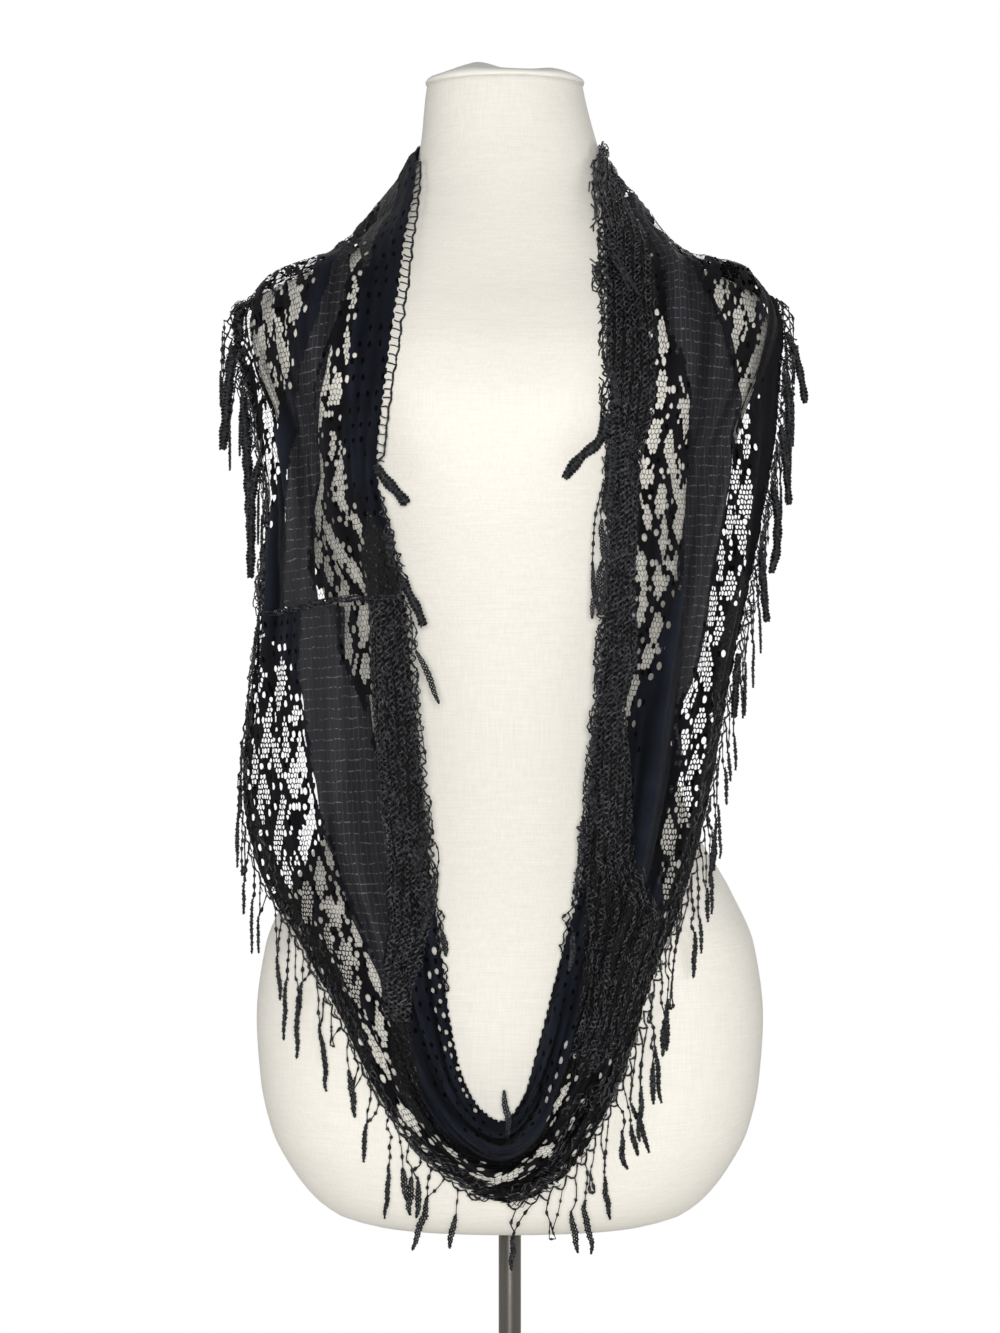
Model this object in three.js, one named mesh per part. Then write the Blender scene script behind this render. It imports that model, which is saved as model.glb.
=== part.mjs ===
// Lace infinity scarf worn by a limbless dress form on its stand.
// Millimetres, +Z up, the front faces -Y, the origin is the middle of the base's underside.
import * as THREE from 'three'

// Driving dimensions
const clothWall = 1.5        // thickness of every cloth wall
const formClearance = 3.4    // least distance from the form to the back of the cloth
const seamGap = 0.3          // between pieces that meet
const trimGap = 2            // from an edge of the cloth to the fringe sewn along it
const frontBustDepth = 122   // from the form's axis to its front at the bust
const ladderWidth = 9        // open edging on the inner edge, on -X above the join
const seamRidgeHeight = 2.4  // joined selvedges standing up where the loop is closed
const seamRidgeWidth = 4.5
const bottomHeight = 750     // underside of the form
const neckTopHeight = 1557   // where the neck's cover is sewn on
const neckTilt = 0.08        // the neck's top slopes down to the front
const neckTiltStart = 1500
const neckLean = 3.5         // and the neck's top leans towards -X
const poleRadius = 8
const poleReach = 110        // length of pole inside the form
const poleFit = 0.3          // clearance round the pole
const baseRadius = 175
const baseThickness = 7
const hubRadius = 19
const hubHeight = 46
const hubFloor = 6           // metal left under the pole
const bustHeight = 1320      // above it the cloth lies on slopes, below it hangs

const facets = { around: 44, up: 40, acrossCloth: 18, acrossFringe: 2, perStation: 3, pole: 24, base: 48 }

const colours = {
  linen: 0xeae4d7,
  capLinen: 0xeee9de,
  lace: 0x14151a,
  fringe: 0x0f1012,
  seam: 0x101013,
  poleSteel: 0x4a4945,
  baseSteel: 0x3c3b39,
}

// The form's level sections, from its underside up. width is half of it across,
// front and back are measured from the axis, square is the superellipse's power.
const formRings = [
  { z: 750, width: 106, front: 58, back: 62, square: 2.2 },
  { z: 757, width: 125, front: 78, back: 82, square: 2.2 },
  { z: 770, width: 141, front: 92, back: 97, square: 2.25 },
  { z: 790, width: 156, front: 102, back: 107, square: 2.3 },
  { z: 815, width: 169, front: 109, back: 114, square: 2.3 },
  { z: 850, width: 177, front: 112, back: 117, square: 2.3 },
  { z: 895, width: 180, front: 112, back: 117, square: 2.3 },
  { z: 944, width: 174, front: 108, back: 110, square: 2.3 },
  { z: 984, width: 157, front: 101, back: 101, square: 2.25 },
  { z: 1030, width: 131, front: 92, back: 91, square: 2.2 },
  { z: 1090, width: 114, front: 86, back: 85, square: 2.2 },
  { z: 1150, width: 121, front: 89, back: 86, square: 2.2 },
  { z: 1210, width: 137, front: 98, back: 90, square: 2.25 },
  { z: 1270, width: 153, front: 114, back: 96, square: 2.3 },
  { z: 1320, width: 166, front: frontBustDepth, back: 100, square: 2.4 },
  { z: 1355, width: 179, front: 115, back: 99, square: 2.5 },
  { z: 1385, width: 185, front: 102, back: 95, square: 2.5 },
  { z: 1404, width: 177, front: 92, back: 89, square: 2.45 },
  { z: 1424, width: 137, front: 83, back: 82, square: 2.35 },
  { z: 1445, width: 104, front: 75, back: 76, square: 2.2 },
  { z: 1465, width: 83, front: 68, back: 70, square: 2.1 },
  { z: 1487, width: 71, front: 62, back: 64, square: 2 },
  { z: 1515, width: 63, front: 57, back: 60, square: 2 },
  { z: 1557, width: 55.5, front: 54, back: 56, square: 2 },
]

// Stations round the loop, from the nape over -X to the lowest point and up over +X.
// in... is the edge next to the neck, out... the other edge, bow how far the middle
// stands off the straight line between them, gather the depth of the even pleats.
const stations = [
  { inX: 0, inY: 66, inZ: 1519, outX: 0, outY: 112, outZ: 1366, bow: 4, gather: 2.5 },
  { inX: -46, inY: 46, inZ: 1518, outX: -104, outY: 98, outZ: 1371, bow: 4, gather: 2.5 },
  { inX: -65, inY: 10, inZ: 1517, outX: -172, outY: 58, outZ: 1390, bow: -8, gather: 2 },
  { inX: -65, inY: -28, inZ: 1492, outX: -194, outY: 6, outZ: 1402, bow: -12, gather: 1.5 },
  { inX: -74, inY: -88, inZ: 1398, outX: -195, outY: -12, outZ: 1374, bow: 0, gather: 1.2 },
  { inX: -83, inY: -117, inZ: 1334, outX: -182, outY: -22, outZ: 1328, bow: 8, gather: 1.2 },
  { inX: -88, inY: -124, inZ: 1274, outX: -168, outY: -36, outZ: 1264, bow: 8, gather: 1.5 },
  { inX: -79, inY: -125, inZ: 1230, outX: -170, outY: -41, outZ: 1215, bow: 9, gather: 1.5 },
  { inX: -70, inY: -126, inZ: 1191, outX: -173, outY: -46, outZ: 1179, bow: 11, gather: 1.2 },
  { inX: -63, inY: -128, inZ: 1121, outX: -181, outY: -49, outZ: 1112, bow: 13, gather: 1.2 },
  { inX: -57, inY: -128, inZ: 1056, outX: -184, outY: -53, outZ: 1049, bow: 13, gather: 1.5 },
  { inX: -52, inY: -128, inZ: 1003, outX: -171, outY: -64, outZ: 998, bow: 11, gather: 1.8 },
  { inX: -45, inY: -127, inZ: 951, outX: -143, outY: -88, outZ: 956, bow: 9, gather: 2.5 },
  { inX: -39, inY: -127, inZ: 905, outX: -115, outY: -107, outZ: 910, bow: 7, gather: 3.5 },
  { inX: -31, inY: -128, inZ: 870, outX: -84, outY: -118, outZ: 850, bow: 6, gather: 5 },
  { inX: -20, inY: -130, inZ: 851, outX: -50, outY: -124, outZ: 810, bow: 5, gather: 6.5 },
  { inX: -5, inY: -131, inZ: 843, outX: -6, outY: -125, outZ: 787, bow: 5, gather: 7 },
  { inX: 8, inY: -130, inZ: 858, outX: 32, outY: -124, outZ: 801, bow: 5, gather: 6.5 },
  { inX: 17, inY: -129, inZ: 888, outX: 57, outY: -121, outZ: 834, bow: 5, gather: 5.5 },
  { inX: 26, inY: -128, inZ: 923, outX: 76, outY: -116, outZ: 873, bow: 6, gather: 5 },
  { inX: 36, inY: -127, inZ: 962, outX: 95, outY: -108, outZ: 932, bow: 6, gather: 4.5 },
  { inX: 46, inY: -127, inZ: 1002, outX: 119, outY: -92, outZ: 992, bow: 7, gather: 3.5 },
  { inX: 51, inY: -127, inZ: 1055, outX: 136, outY: -79, outZ: 1057, bow: 9, gather: 3 },
  { inX: 57, inY: -127, inZ: 1121, outX: 149, outY: -67, outZ: 1125, bow: 9, gather: 2.5 },
  { inX: 62, inY: -126, inZ: 1187, outX: 164, outY: -52, outZ: 1190, bow: 9, gather: 2 },
  { inX: 65, inY: -125, inZ: 1241, outX: 175, outY: -41, outZ: 1246, bow: 8, gather: 1.8 },
  { inX: 65, inY: -122, inZ: 1294, outX: 186, outY: -27, outZ: 1302, bow: 7, gather: 1.5 },
  { inX: 64, inY: -114, inZ: 1342, outX: 193, outY: -14, outZ: 1353, bow: 5, gather: 1.2 },
  { inX: 63, inY: -92, inZ: 1396, outX: 195, outY: 0, outZ: 1386, bow: 0, gather: 1.2 },
  { inX: 61, inY: -33, inZ: 1492, outX: 187, outY: 22, outZ: 1410, bow: -12, gather: 1.5 },
  { inX: 64, inY: 8, inZ: 1517, outX: 168, outY: 60, outZ: 1393, bow: -8, gather: 2 },
  { inX: 46, inY: 46, inZ: 1518, outX: 102, outY: 98, outZ: 1372, bow: 4, gather: 2.5 },
]

// Where the stretches of the loop begin and end, counted in stations.
const loopMarks = {
  backStart: -2.5,
  leftShoulder: 2.5,
  join: 8,
  leftKnee: 14.4,
  rightKnee: 17.7,
  rightWaist: 23.5,
  rightShoulder: 29.5,
}

// The largest folds, each a soft ridge along the loop: from and to in stations,
// start and end its place across the cloth (0 next to the neck, 1 the other edge).
const folds = [
  { from: 2.2, to: 7.6, start: 0.42, end: 0.3, spread: 0.05, height: 5 },
  { from: 3.2, to: 7.9, start: 0.66, end: 0.72, spread: 0.05, height: 6 },
  { from: 4.5, to: 9.5, start: 0.9, end: 0.86, spread: 0.04, height: 5 },
  { from: 6.2, to: 13.6, start: 0.12, end: 0.2, spread: 0.06, height: 6 },
  { from: 8.3, to: 14, start: 0.42, end: 0.36, spread: 0.05, height: 4 },
  { from: 9, to: 15, start: 0.74, end: 0.6, spread: 0.05, height: 5 },
  { from: 10.5, to: 15.6, start: 0.05, end: 0.1, spread: 0.04, height: 5 },
  { from: 14, to: 19, start: 0.3, end: 0.38, spread: 0.07, height: 7 },
  { from: 14.6, to: 18.6, start: 0.68, end: 0.62, spread: 0.07, height: 6 },
  { from: 17, to: 24, start: 0.1, end: 0.14, spread: 0.06, height: 6 },
  { from: 18, to: 25.5, start: 0.5, end: 0.4, spread: 0.06, height: 6 },
  { from: 19, to: 27, start: 0.8, end: 0.84, spread: 0.05, height: 6 },
  { from: 23, to: 29, start: 0.26, end: 0.34, spread: 0.05, height: 4 },
  { from: 24, to: 29.6, start: 0.64, end: 0.6, spread: 0.05, height: 5 },
  { from: 28, to: 34.5, start: 0.3, end: 0.4, spread: 0.07, height: 7 },
  { from: 29, to: 35, start: 0.74, end: 0.7, spread: 0.07, height: 7 },
]
const pleatCount = 4
const pleatDrift = 0.125     // pleats wander across by this share of a pleat each station

// Fringe, each a thin curtain from an edge of the cloth: at in stations, out how far it
// stands off beside the edge and drop how far it falls.
const fringes = [
  {
    name: 'fringe_outer_left', side: 1,
    reach: [
      { at: 2.5, out: 10, drop: 46 }, { at: 4, out: 8, drop: 40 }, { at: 5, out: 11, drop: 36 },
      { at: 6, out: 18, drop: 34 }, { at: 8, out: 12, drop: 18 }, { at: 10, out: 9, drop: 24 },
      { at: 11.5, out: 9, drop: 60 }, { at: 13, out: 4, drop: 82 }, { at: 14.5, out: 2, drop: 60 },
      { at: 15.9, out: 1, drop: 32 },
    ],
  },
  {
    name: 'fringe_outer_right', side: 1,
    reach: [
      { at: 16.1, out: 1, drop: 36 }, { at: 18, out: 4, drop: 68 }, { at: 20.5, out: 8, drop: 70 },
      { at: 22, out: 8, drop: 40 }, { at: 24, out: 9, drop: 30 }, { at: 26.5, out: 14, drop: 34 },
      { at: 28, out: 14, drop: 40 }, { at: 29.5, out: 12, drop: 46 },
    ],
  },
  {
    name: 'fringe_back', side: 1,
    reach: [{ at: 29.6, out: 6, drop: 70 }, { at: 32, out: 2, drop: 78 }, { at: 34.4, out: 6, drop: 70 }],
  },
  {
    name: 'fringe_inner_left', side: 0,
    reach: [{ at: 6.3, out: 8, drop: 20 }, { at: 8, out: 14, drop: 24 }, { at: 12, out: 10, drop: 16 }],
  },
  {
    name: 'fringe_inner_right', side: 0,
    reach: [{ at: 20.5, out: 8, drop: 10 }, { at: 23, out: 13, drop: 22 }, { at: 28.3, out: 8, drop: 16 }],
  },
]

// ---- small mathematics ----

function mix(a, b, share) {
  return a + (b - a) * share
}

function softStep(share) {
  const held = Math.min(Math.max(share, 0), 1)
  return held * held * (3 - 2 * held)
}

// A smooth value between table rows that never overshoots them.
function between(rows, axis, column, at) {
  const last = rows.length - 1
  if (at <= rows[0][axis]) return rows[0][column]
  if (at >= rows[last][axis]) return rows[last][column]
  let i = 0
  while (rows[i + 1][axis] < at) i += 1
  const slopeOf = (k) => (rows[k + 1][column] - rows[k][column]) / (rows[k + 1][axis] - rows[k][axis])
  const tangentOf = (k) => {
    if (k === 0) return slopeOf(0)
    if (k === last) return slopeOf(last - 1)
    const before = slopeOf(k - 1)
    const after = slopeOf(k)
    return before * after <= 0 ? 0 : (2 * before * after) / (before + after)
  }
  const span = rows[i + 1][axis] - rows[i][axis]
  const u = (at - rows[i][axis]) / span
  const keepStart = (1 + 2 * u) * (1 - u) * (1 - u)
  const keepEnd = u * u * (3 - 2 * u)
  const leave = u * (1 - u) * (1 - u) * span
  const arrive = u * u * (u - 1) * span
  return keepStart * rows[i][column] + keepEnd * rows[i + 1][column]
    + leave * tangentOf(i) + arrive * tangentOf(i + 1)
}

// A smooth value round the closed row of stations.
function aroundLoop(column, t) {
  const count = stations.length
  const i = Math.floor(t)
  const u = t - i
  const at = (k) => stations[(((i + k) % count) + count) % count][column]
  const [a, b, c, d] = [at(-1), at(0), at(1), at(2)]
  return b + 0.5 * u * (c - a + u * (2 * a - 5 * b + 4 * c - d + u * (3 * (b - c) + d - a)))
}

// ---- the dress form ----

function formRing(z) {
  const ring = { z }
  for (const column of ['width', 'front', 'back', 'square']) ring[column] = between(formRings, 'z', column, z)
  return ring
}

// 1 on the form's surface, more outside it.
function formLevel(x, y, z) {
  const ring = formRing(z)
  const depth = y < 0 ? ring.front : ring.back
  const power = ring.square
  return (Math.abs(x / ring.width) ** power + Math.abs(y / depth) ** power) ** (1 / power)
}

function formDistance(p) {
  const step = 0.5
  const slope = new THREE.Vector3(
    formLevel(p.x + step, p.y, p.z) - formLevel(p.x - step, p.y, p.z),
    formLevel(p.x, p.y + step, p.z) - formLevel(p.x, p.y - step, p.z),
    formLevel(p.x, p.y, p.z + step) - formLevel(p.x, p.y, p.z - step),
  ).divideScalar(2 * step)
  const steepness = slope.length()
  return { distance: (formLevel(p.x, p.y, p.z) - 1) / steepness, outward: slope.divideScalar(steepness) }
}

function clearOfForm(p, gap) {
  const tries = 5
  for (let i = 0; i < tries; i += 1) {
    const { distance, outward } = formDistance(p)
    if (distance >= gap) return
    p.addScaledVector(outward, gap - distance)
  }
}

// ---- the cloth as one surface: s across it, t along the loop ----

function foldHeight(s, t) {
  const count = stations.length
  const even = 0.5 - 0.5 * Math.cos(2 * Math.PI * (pleatCount * s + pleatDrift * t))
  let height = even * aroundLoop('gather', t) * Math.sqrt(Math.max(0, Math.sin(Math.PI * s)))
  for (const fold of folds) {
    for (const turn of [0, count]) {
      const share = (t + turn - fold.from) / (fold.to - fold.from)
      if (share > 0 && share < 1) {
        const offset = (s - mix(fold.start, fold.end, share)) / fold.spread
        height += fold.height * Math.sin(Math.PI * share) * Math.exp(-offset * offset)
      }
    }
  }
  return height
}

// The way that cloth stands off the form: over the shoulders as the form's own surface,
// lower down level.
function outwardAt(p) {
  const { outward } = formDistance(p)
  outward.z *= softStep((p.z - bustHeight) / 80)
  return outward.normalize()
}

function clothPoint(s, t, lift = 0) {
  const p = new THREE.Vector3(
    mix(aroundLoop('inX', t), aroundLoop('outX', t), s),
    mix(aroundLoop('inY', t), aroundLoop('outY', t), s),
    mix(aroundLoop('inZ', t), aroundLoop('outZ', t), s),
  )
  p.addScaledVector(outwardAt(p), aroundLoop('bow', t) * 4 * s * (1 - s))
  clearOfForm(p, formClearance)
  p.addScaledVector(outwardAt(p), foldHeight(s, t) + lift)
  return p
}

// ---- closed meshes ----

// A wall of even thickness on a grid of points: rows by columns, its front away from the form.
// Rows before and after it, where given, let neighbouring walls meet with one slope.
function wallGeometry(rows, thickness, rowBefore = rows[0], rowAfter = rows[rows.length - 1]) {
  const rowCount = rows.length
  const columnCount = rows[0].length
  const positions = []
  const indices = []
  const normalAt = (i, j) => {
    const before = (i === 0 ? rowBefore : rows[i - 1])[j]
    const after = (i === rowCount - 1 ? rowAfter : rows[i + 1])[j]
    const near = rows[i][Math.max(j - 1, 0)]
    const far = rows[i][Math.min(j + 1, columnCount - 1)]
    return new THREE.Vector3().subVectors(far, near).cross(new THREE.Vector3().subVectors(after, before)).normalize()
  }
  const facing = normalAt(Math.floor(rowCount / 2), Math.floor(columnCount / 2))
  const middle = rows[Math.floor(rowCount / 2)][Math.floor(columnCount / 2)]
  const turned = facing.dot(outwardAt(middle)) < 0
  for (const side of [0, 1]) {
    for (let i = 0; i < rowCount; i += 1) {
      for (let j = 0; j < columnCount; j += 1) {
        const reach = side * thickness * (turned ? -1 : 1)
        const p = rows[i][j].clone().addScaledVector(normalAt(i, j), reach)
        positions.push(p.x, p.y, p.z)
      }
    }
  }
  const total = rowCount * columnCount
  const face = (a, b, c, d) => {
    if (turned) indices.push(a, c, b, a, d, c)
    else indices.push(a, b, c, a, c, d)
  }
  const at = (i, j) => i * columnCount + j
  for (let i = 0; i < rowCount - 1; i += 1) {
    for (let j = 0; j < columnCount - 1; j += 1) {
      face(at(i, j), at(i + 1, j), at(i + 1, j + 1), at(i, j + 1))
      face(total + at(i, j), total + at(i, j + 1), total + at(i + 1, j + 1), total + at(i + 1, j))
    }
  }
  for (let i = 0; i < rowCount - 1; i += 1) {
    const j = columnCount - 1
    face(at(i, 0), total + at(i, 0), total + at(i + 1, 0), at(i + 1, 0))
    face(at(i, j), at(i + 1, j), total + at(i + 1, j), total + at(i, j))
  }
  for (let j = 0; j < columnCount - 1; j += 1) {
    const i = rowCount - 1
    face(at(0, j), at(0, j + 1), total + at(0, j + 1), total + at(0, j))
    face(at(i, j), total + at(i, j), total + at(i, j + 1), at(i, j + 1))
  }
  return meshGeometry(positions, indices)
}

function meshGeometry(positions, indices) {
  const geometry = new THREE.BufferGeometry()
  geometry.setAttribute('position', new THREE.Float32BufferAttribute(positions, 3))
  geometry.setIndex(indices)
  geometry.computeVertexNormals()
  return geometry
}

// A solid skinned over closed rings of equal count, from the lowest ring up, with flat ends.
function ringSolid(rings) {
  const count = rings[0].length
  const positions = rings.flat().flatMap((p) => [p.x, p.y, p.z])
  const indices = []
  for (let i = 0; i < rings.length - 1; i += 1) {
    for (let j = 0; j < count; j += 1) {
      const next = (j + 1) % count
      const [a, b, c, d] = [i * count + j, i * count + next, (i + 1) * count + next, (i + 1) * count + j]
      indices.push(a, b, c, a, c, d)
    }
  }
  const closeEnd = (ring, up) => {
    const middle = rings[ring].reduce((sum, p) => sum.add(p), new THREE.Vector3()).divideScalar(count)
    const hub = positions.length / 3
    positions.push(middle.x, middle.y, middle.z)
    for (let j = 0; j < count; j += 1) {
      const [a, b] = [ring * count + j, ring * count + ((j + 1) % count)]
      if (up) indices.push(a, b, hub)
      else indices.push(b, a, hub)
    }
  }
  closeEnd(0, false)
  closeEnd(rings.length - 1, true)
  return meshGeometry(positions, indices)
}

function spread(from, to, steps) {
  return Array.from({ length: steps + 1 }, (_, i) => mix(from, to, i / steps))
}

function namedMesh(name, geometry, colour, roughness, metalness = 0) {
  const material = new THREE.MeshStandardMaterial({ color: colour, roughness, metalness })
  const mesh = new THREE.Mesh(geometry, material)
  mesh.name = name
  return mesh
}

// ---- pieces ----

function superellipseRing(ring) {
  const points = []
  const upNeck = softStep((ring.z - neckTiltStart) / (neckTopHeight - neckTiltStart))
  for (let j = 0; j < facets.around; j += 1) {
    const angle = (2 * Math.PI * j) / facets.around
    const [c, s] = [Math.cos(angle), Math.sin(angle)]
    const depth = s < 0 ? ring.front : ring.back
    const x = ring.width * Math.sign(c) * Math.abs(c) ** (2 / ring.square)
    const y = depth * Math.sign(s) * Math.abs(s) ** (2 / ring.square)
    points.push(new THREE.Vector3(x - neckLean * upNeck, y, ring.z + neckTilt * upNeck * y))
  }
  return points
}

function roundRing(radius, z) {
  return Array.from({ length: facets.around }, (_, j) => {
    const angle = (2 * Math.PI * j) / facets.around
    return new THREE.Vector3(radius * Math.cos(angle), radius * Math.sin(angle), z)
  })
}

// The padded torso: one closed body with a blind bore for the pole in its underside.
function dressForm() {
  const boreRadius = poleRadius + poleFit
  const rings = [
    roundRing(boreRadius, bottomHeight + poleReach + poleFit),
    roundRing(boreRadius, bottomHeight),
  ]
  const heights = new Set([...formRings.map((ring) => ring.z), ...spread(bottomHeight, neckTopHeight, facets.up)])
  const levels = [...heights].sort((a, b) => a - b)
  const leastStep = 6
  for (const [i, z] of levels.entries()) {
    const isRow = formRings.some((ring) => ring.z === z)
    const crowded = (i > 0 && z - levels[i - 1] < leastStep) || (levels[i + 1] - z < leastStep)
    if (isRow || !crowded) rings.push(superellipseRing(formRing(z)))
  }
  return namedMesh('dress_form', ringSolid(rings), colours.linen, 0.9)
}

// The neck's cloth cover: a low rumpled cap with its edge turned under all round.
function neckCap() {
  const sections = [
    { share: 0.985, rise: 0 },
    { share: 1.02, rise: 2 },
    { share: 0.99, rise: 4.2 },
    { share: 0.9, rise: 5.6 },
    { share: 0.66, rise: 6 },
    { share: 0.36, rise: 5.4 },
  ]
  const rumples = [
    { x: -22, y: -26, reach: 17, height: 6.7 },
    { x: 27, y: -24, reach: 15, height: 2.6 },
    { x: -30, y: 22, reach: 18, height: 3 },
    { x: 20, y: 26, reach: 20, height: 4 },
  ]
  const neck = superellipseRing(formRing(neckTopHeight))
  const rings = sections.map(({ share, rise }) => neck.map((edge) => {
    const p = new THREE.Vector3((edge.x + neckLean) * share - neckLean, edge.y * share, edge.z + seamGap + rise)
    p.z += (edge.y * share - edge.y) * neckTilt
    for (const { x, y, reach, height } of rumples) {
      const away = Math.hypot(p.x - x, p.y - y) / reach
      p.z += height * softStep(rise / 5) * Math.exp(-away * away)
    }
    return p
  }))
  return namedMesh('neck_cap', ringSolid(rings), colours.capLinen, 0.9)
}

function clothRow(t, lift = 0) {
  return spread(0, 1, facets.acrossCloth).map((s) => clothPoint(s, t, lift))
}

// Half the gap between two stretches that meet at t, counted in stations.
function halfGap(t) {
  const stationLengths = [0, 0.5, 1].map((s) => clothPoint(s, t - 0.5).distanceTo(clothPoint(s, t + 0.5)))
  return seamGap / 2 / Math.min(...stationLengths)
}

function stretch(name, from, to) {
  const steps = Math.round((to - from) * facets.perStation)
  const rows = spread(from + halfGap(from), to - halfGap(to), steps).map((t) => clothRow(t))
  const slopeReach = 0.1
  const geometry = wallGeometry(rows, clothWall, clothRow(from - slopeReach), clothRow(to + slopeReach))
  return namedMesh(name, geometry, colours.lace, 0.85)
}

// The selvedges' ridge where the two ends of the scarf are joined into a loop.
function joinSeam() {
  const stationLength = clothPoint(0.5, loopMarks.join - 0.5).distanceTo(clothPoint(0.5, loopMarks.join + 0.5))
  const halfWidth = seamRidgeWidth / 2 / stationLength
  const rows = [-1, 0, 1].map((side) => clothRow(loopMarks.join + side * halfWidth, clothWall + 0.6))
  return namedMesh('join_seam', wallGeometry(rows, seamRidgeHeight), colours.seam, 0.8)
}

// A strip that starts beside an edge of the cloth and leaves it by out and drop.
function edgeStrip(side, t, out, drop, steps) {
  const edge = clothPoint(side, t)
  const away = new THREE.Vector3().subVectors(edge, clothPoint(1 - side, t)).normalize()
  return spread(0, 1, steps).map((share) => {
    const p = edge.clone().addScaledVector(away, trimGap + out * share)
    p.z -= drop * share
    clearOfForm(p, formClearance)
    return p
  })
}

function fringe({ name, side, reach }) {
  const from = reach[0].at
  const to = reach[reach.length - 1].at
  const steps = Math.round((to - from) * facets.perStation)
  const rows = spread(from, to, steps).map((t) => (
    edgeStrip(side, t, between(reach, 'at', 'out', t), between(reach, 'at', 'drop', t), facets.acrossFringe)
  ))
  return namedMesh(name, wallGeometry(rows, clothWall), colours.fringe, 0.8)
}

function ladderEdge() {
  const rows = spread(2.9, 6, 10).map((t) => edgeStrip(0, t, ladderWidth, 0, 1))
  return namedMesh('ladder_edge', wallGeometry(rows, clothWall), colours.fringe, 0.8)
}

function pole() {
  const length = bottomHeight + poleReach - hubFloor - poleFit
  const geometry = new THREE.CylinderGeometry(poleRadius, poleRadius, length, facets.pole)
  const mesh = namedMesh('pole', geometry, colours.poleSteel, 0.35, 0.9)
  mesh.rotation.x = Math.PI / 2
  mesh.position.z = hubFloor + poleFit + length / 2
  return mesh
}

// A flat round plate with a raised socket that the pole stands in.
function base() {
  const profile = new THREE.Shape()
  profile.moveTo(0, 0)
  profile.lineTo(baseRadius - 2, 0)
  profile.lineTo(baseRadius, 2)
  profile.lineTo(baseRadius, baseThickness - 4)
  profile.quadraticCurveTo(baseRadius, baseThickness - 1, baseRadius - 5, baseThickness - 1)
  profile.lineTo(hubRadius + 16, baseThickness)
  profile.quadraticCurveTo(hubRadius + 2, baseThickness + 1, hubRadius, baseThickness + 12)
  profile.lineTo(hubRadius - 2, hubHeight - 2)
  profile.lineTo(hubRadius - 4, hubHeight)
  profile.lineTo(poleRadius + poleFit, hubHeight)
  profile.lineTo(poleRadius + poleFit, hubFloor)
  profile.lineTo(0, hubFloor)
  const geometry = new THREE.LatheGeometry(profile.getPoints(5), facets.base)
  const mesh = namedMesh('base', geometry, colours.baseSteel, 0.5, 0.8)
  mesh.rotation.x = Math.PI / 2
  return mesh
}

const marks = loopMarks
const group = new THREE.Group()
group.add(
  base(),
  pole(),
  dressForm(),
  neckCap(),
  stretch('scarf_back', marks.backStart, marks.leftShoulder),
  stretch('scarf_left_upper', marks.leftShoulder, marks.join),
  stretch('scarf_left_lower', marks.join, marks.leftKnee),
  stretch('scarf_bottom', marks.leftKnee, marks.rightKnee),
  stretch('scarf_right_lower', marks.rightKnee, marks.rightWaist),
  stretch('scarf_right_upper', marks.rightWaist, marks.rightShoulder),
  joinSeam(),
  ladderEdge(),
  ...fringes.map(fringe),
)

export default group
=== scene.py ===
import math
import random

import bpy
import numpy as np
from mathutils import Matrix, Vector
from mathutils.bvhtree import BVHTree


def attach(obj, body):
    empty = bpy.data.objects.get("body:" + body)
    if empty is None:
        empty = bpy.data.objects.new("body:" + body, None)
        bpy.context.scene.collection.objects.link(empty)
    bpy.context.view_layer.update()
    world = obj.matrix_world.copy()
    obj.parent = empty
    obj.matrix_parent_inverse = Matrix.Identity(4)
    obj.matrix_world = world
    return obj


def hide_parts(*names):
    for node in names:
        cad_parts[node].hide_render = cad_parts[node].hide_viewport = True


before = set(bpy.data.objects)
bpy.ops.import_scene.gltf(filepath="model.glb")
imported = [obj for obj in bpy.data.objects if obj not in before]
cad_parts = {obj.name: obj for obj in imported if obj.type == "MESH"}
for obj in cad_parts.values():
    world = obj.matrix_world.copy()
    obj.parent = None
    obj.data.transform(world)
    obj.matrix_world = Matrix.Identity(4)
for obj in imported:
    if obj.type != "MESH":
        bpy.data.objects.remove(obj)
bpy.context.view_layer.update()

mm = 0.001
rng = random.Random(41)
noiseRng = np.random.default_rng(41)


def toLinear(hexColour):
    parts = [int(hexColour[i:i + 2], 16) / 255 for i in (1, 3, 5)]
    return [c / 12.92 if c <= 0.04045 else ((c + 0.055) / 1.055) ** 2.4 for c in parts] + [1]


def tinted(colour, share):
    return [min(1, c * share) for c in colour[:3]] + [1]


def join(material, source, socket):
    # a node given as the source stands for its own first output
    material.node_tree.links.new(source.outputs[0] if hasattr(source, "outputs") else source, socket)


def addNode(material, kind, settings=None, links=None):
    # kind is the shader node's name; settings go to properties or input sockets, links are input: source
    node = material.node_tree.nodes.new("ShaderNode" + kind)
    for key, value in (settings or {}).items():
        if isinstance(key, str) and hasattr(node, key):
            setattr(node, key, value)
        else:
            node.inputs[key].default_value = value
    for key, source in (links or {}).items():
        join(material, source, node.inputs[key])
    return node


def newMaterial(name, settings):
    material = bpy.data.materials.new(name)
    material.use_nodes = True
    shader = material.node_tree.nodes["Principled BSDF"]
    for socket, value in settings.items():
        shader.inputs[socket].default_value = value
    return material, shader


def softStep(x):
    x = np.clip(x, 0, 1)
    return x * x * (3 - 2 * x)


def unit(v):
    return v / np.maximum(np.linalg.norm(v, axis=-1, keepdims=True), 1e-9)


def runAlong(points):
    # how far each point lies along the line through them
    return np.concatenate([[0], np.linalg.norm(np.diff(points, axis=0), axis=1).cumsum()])


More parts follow.
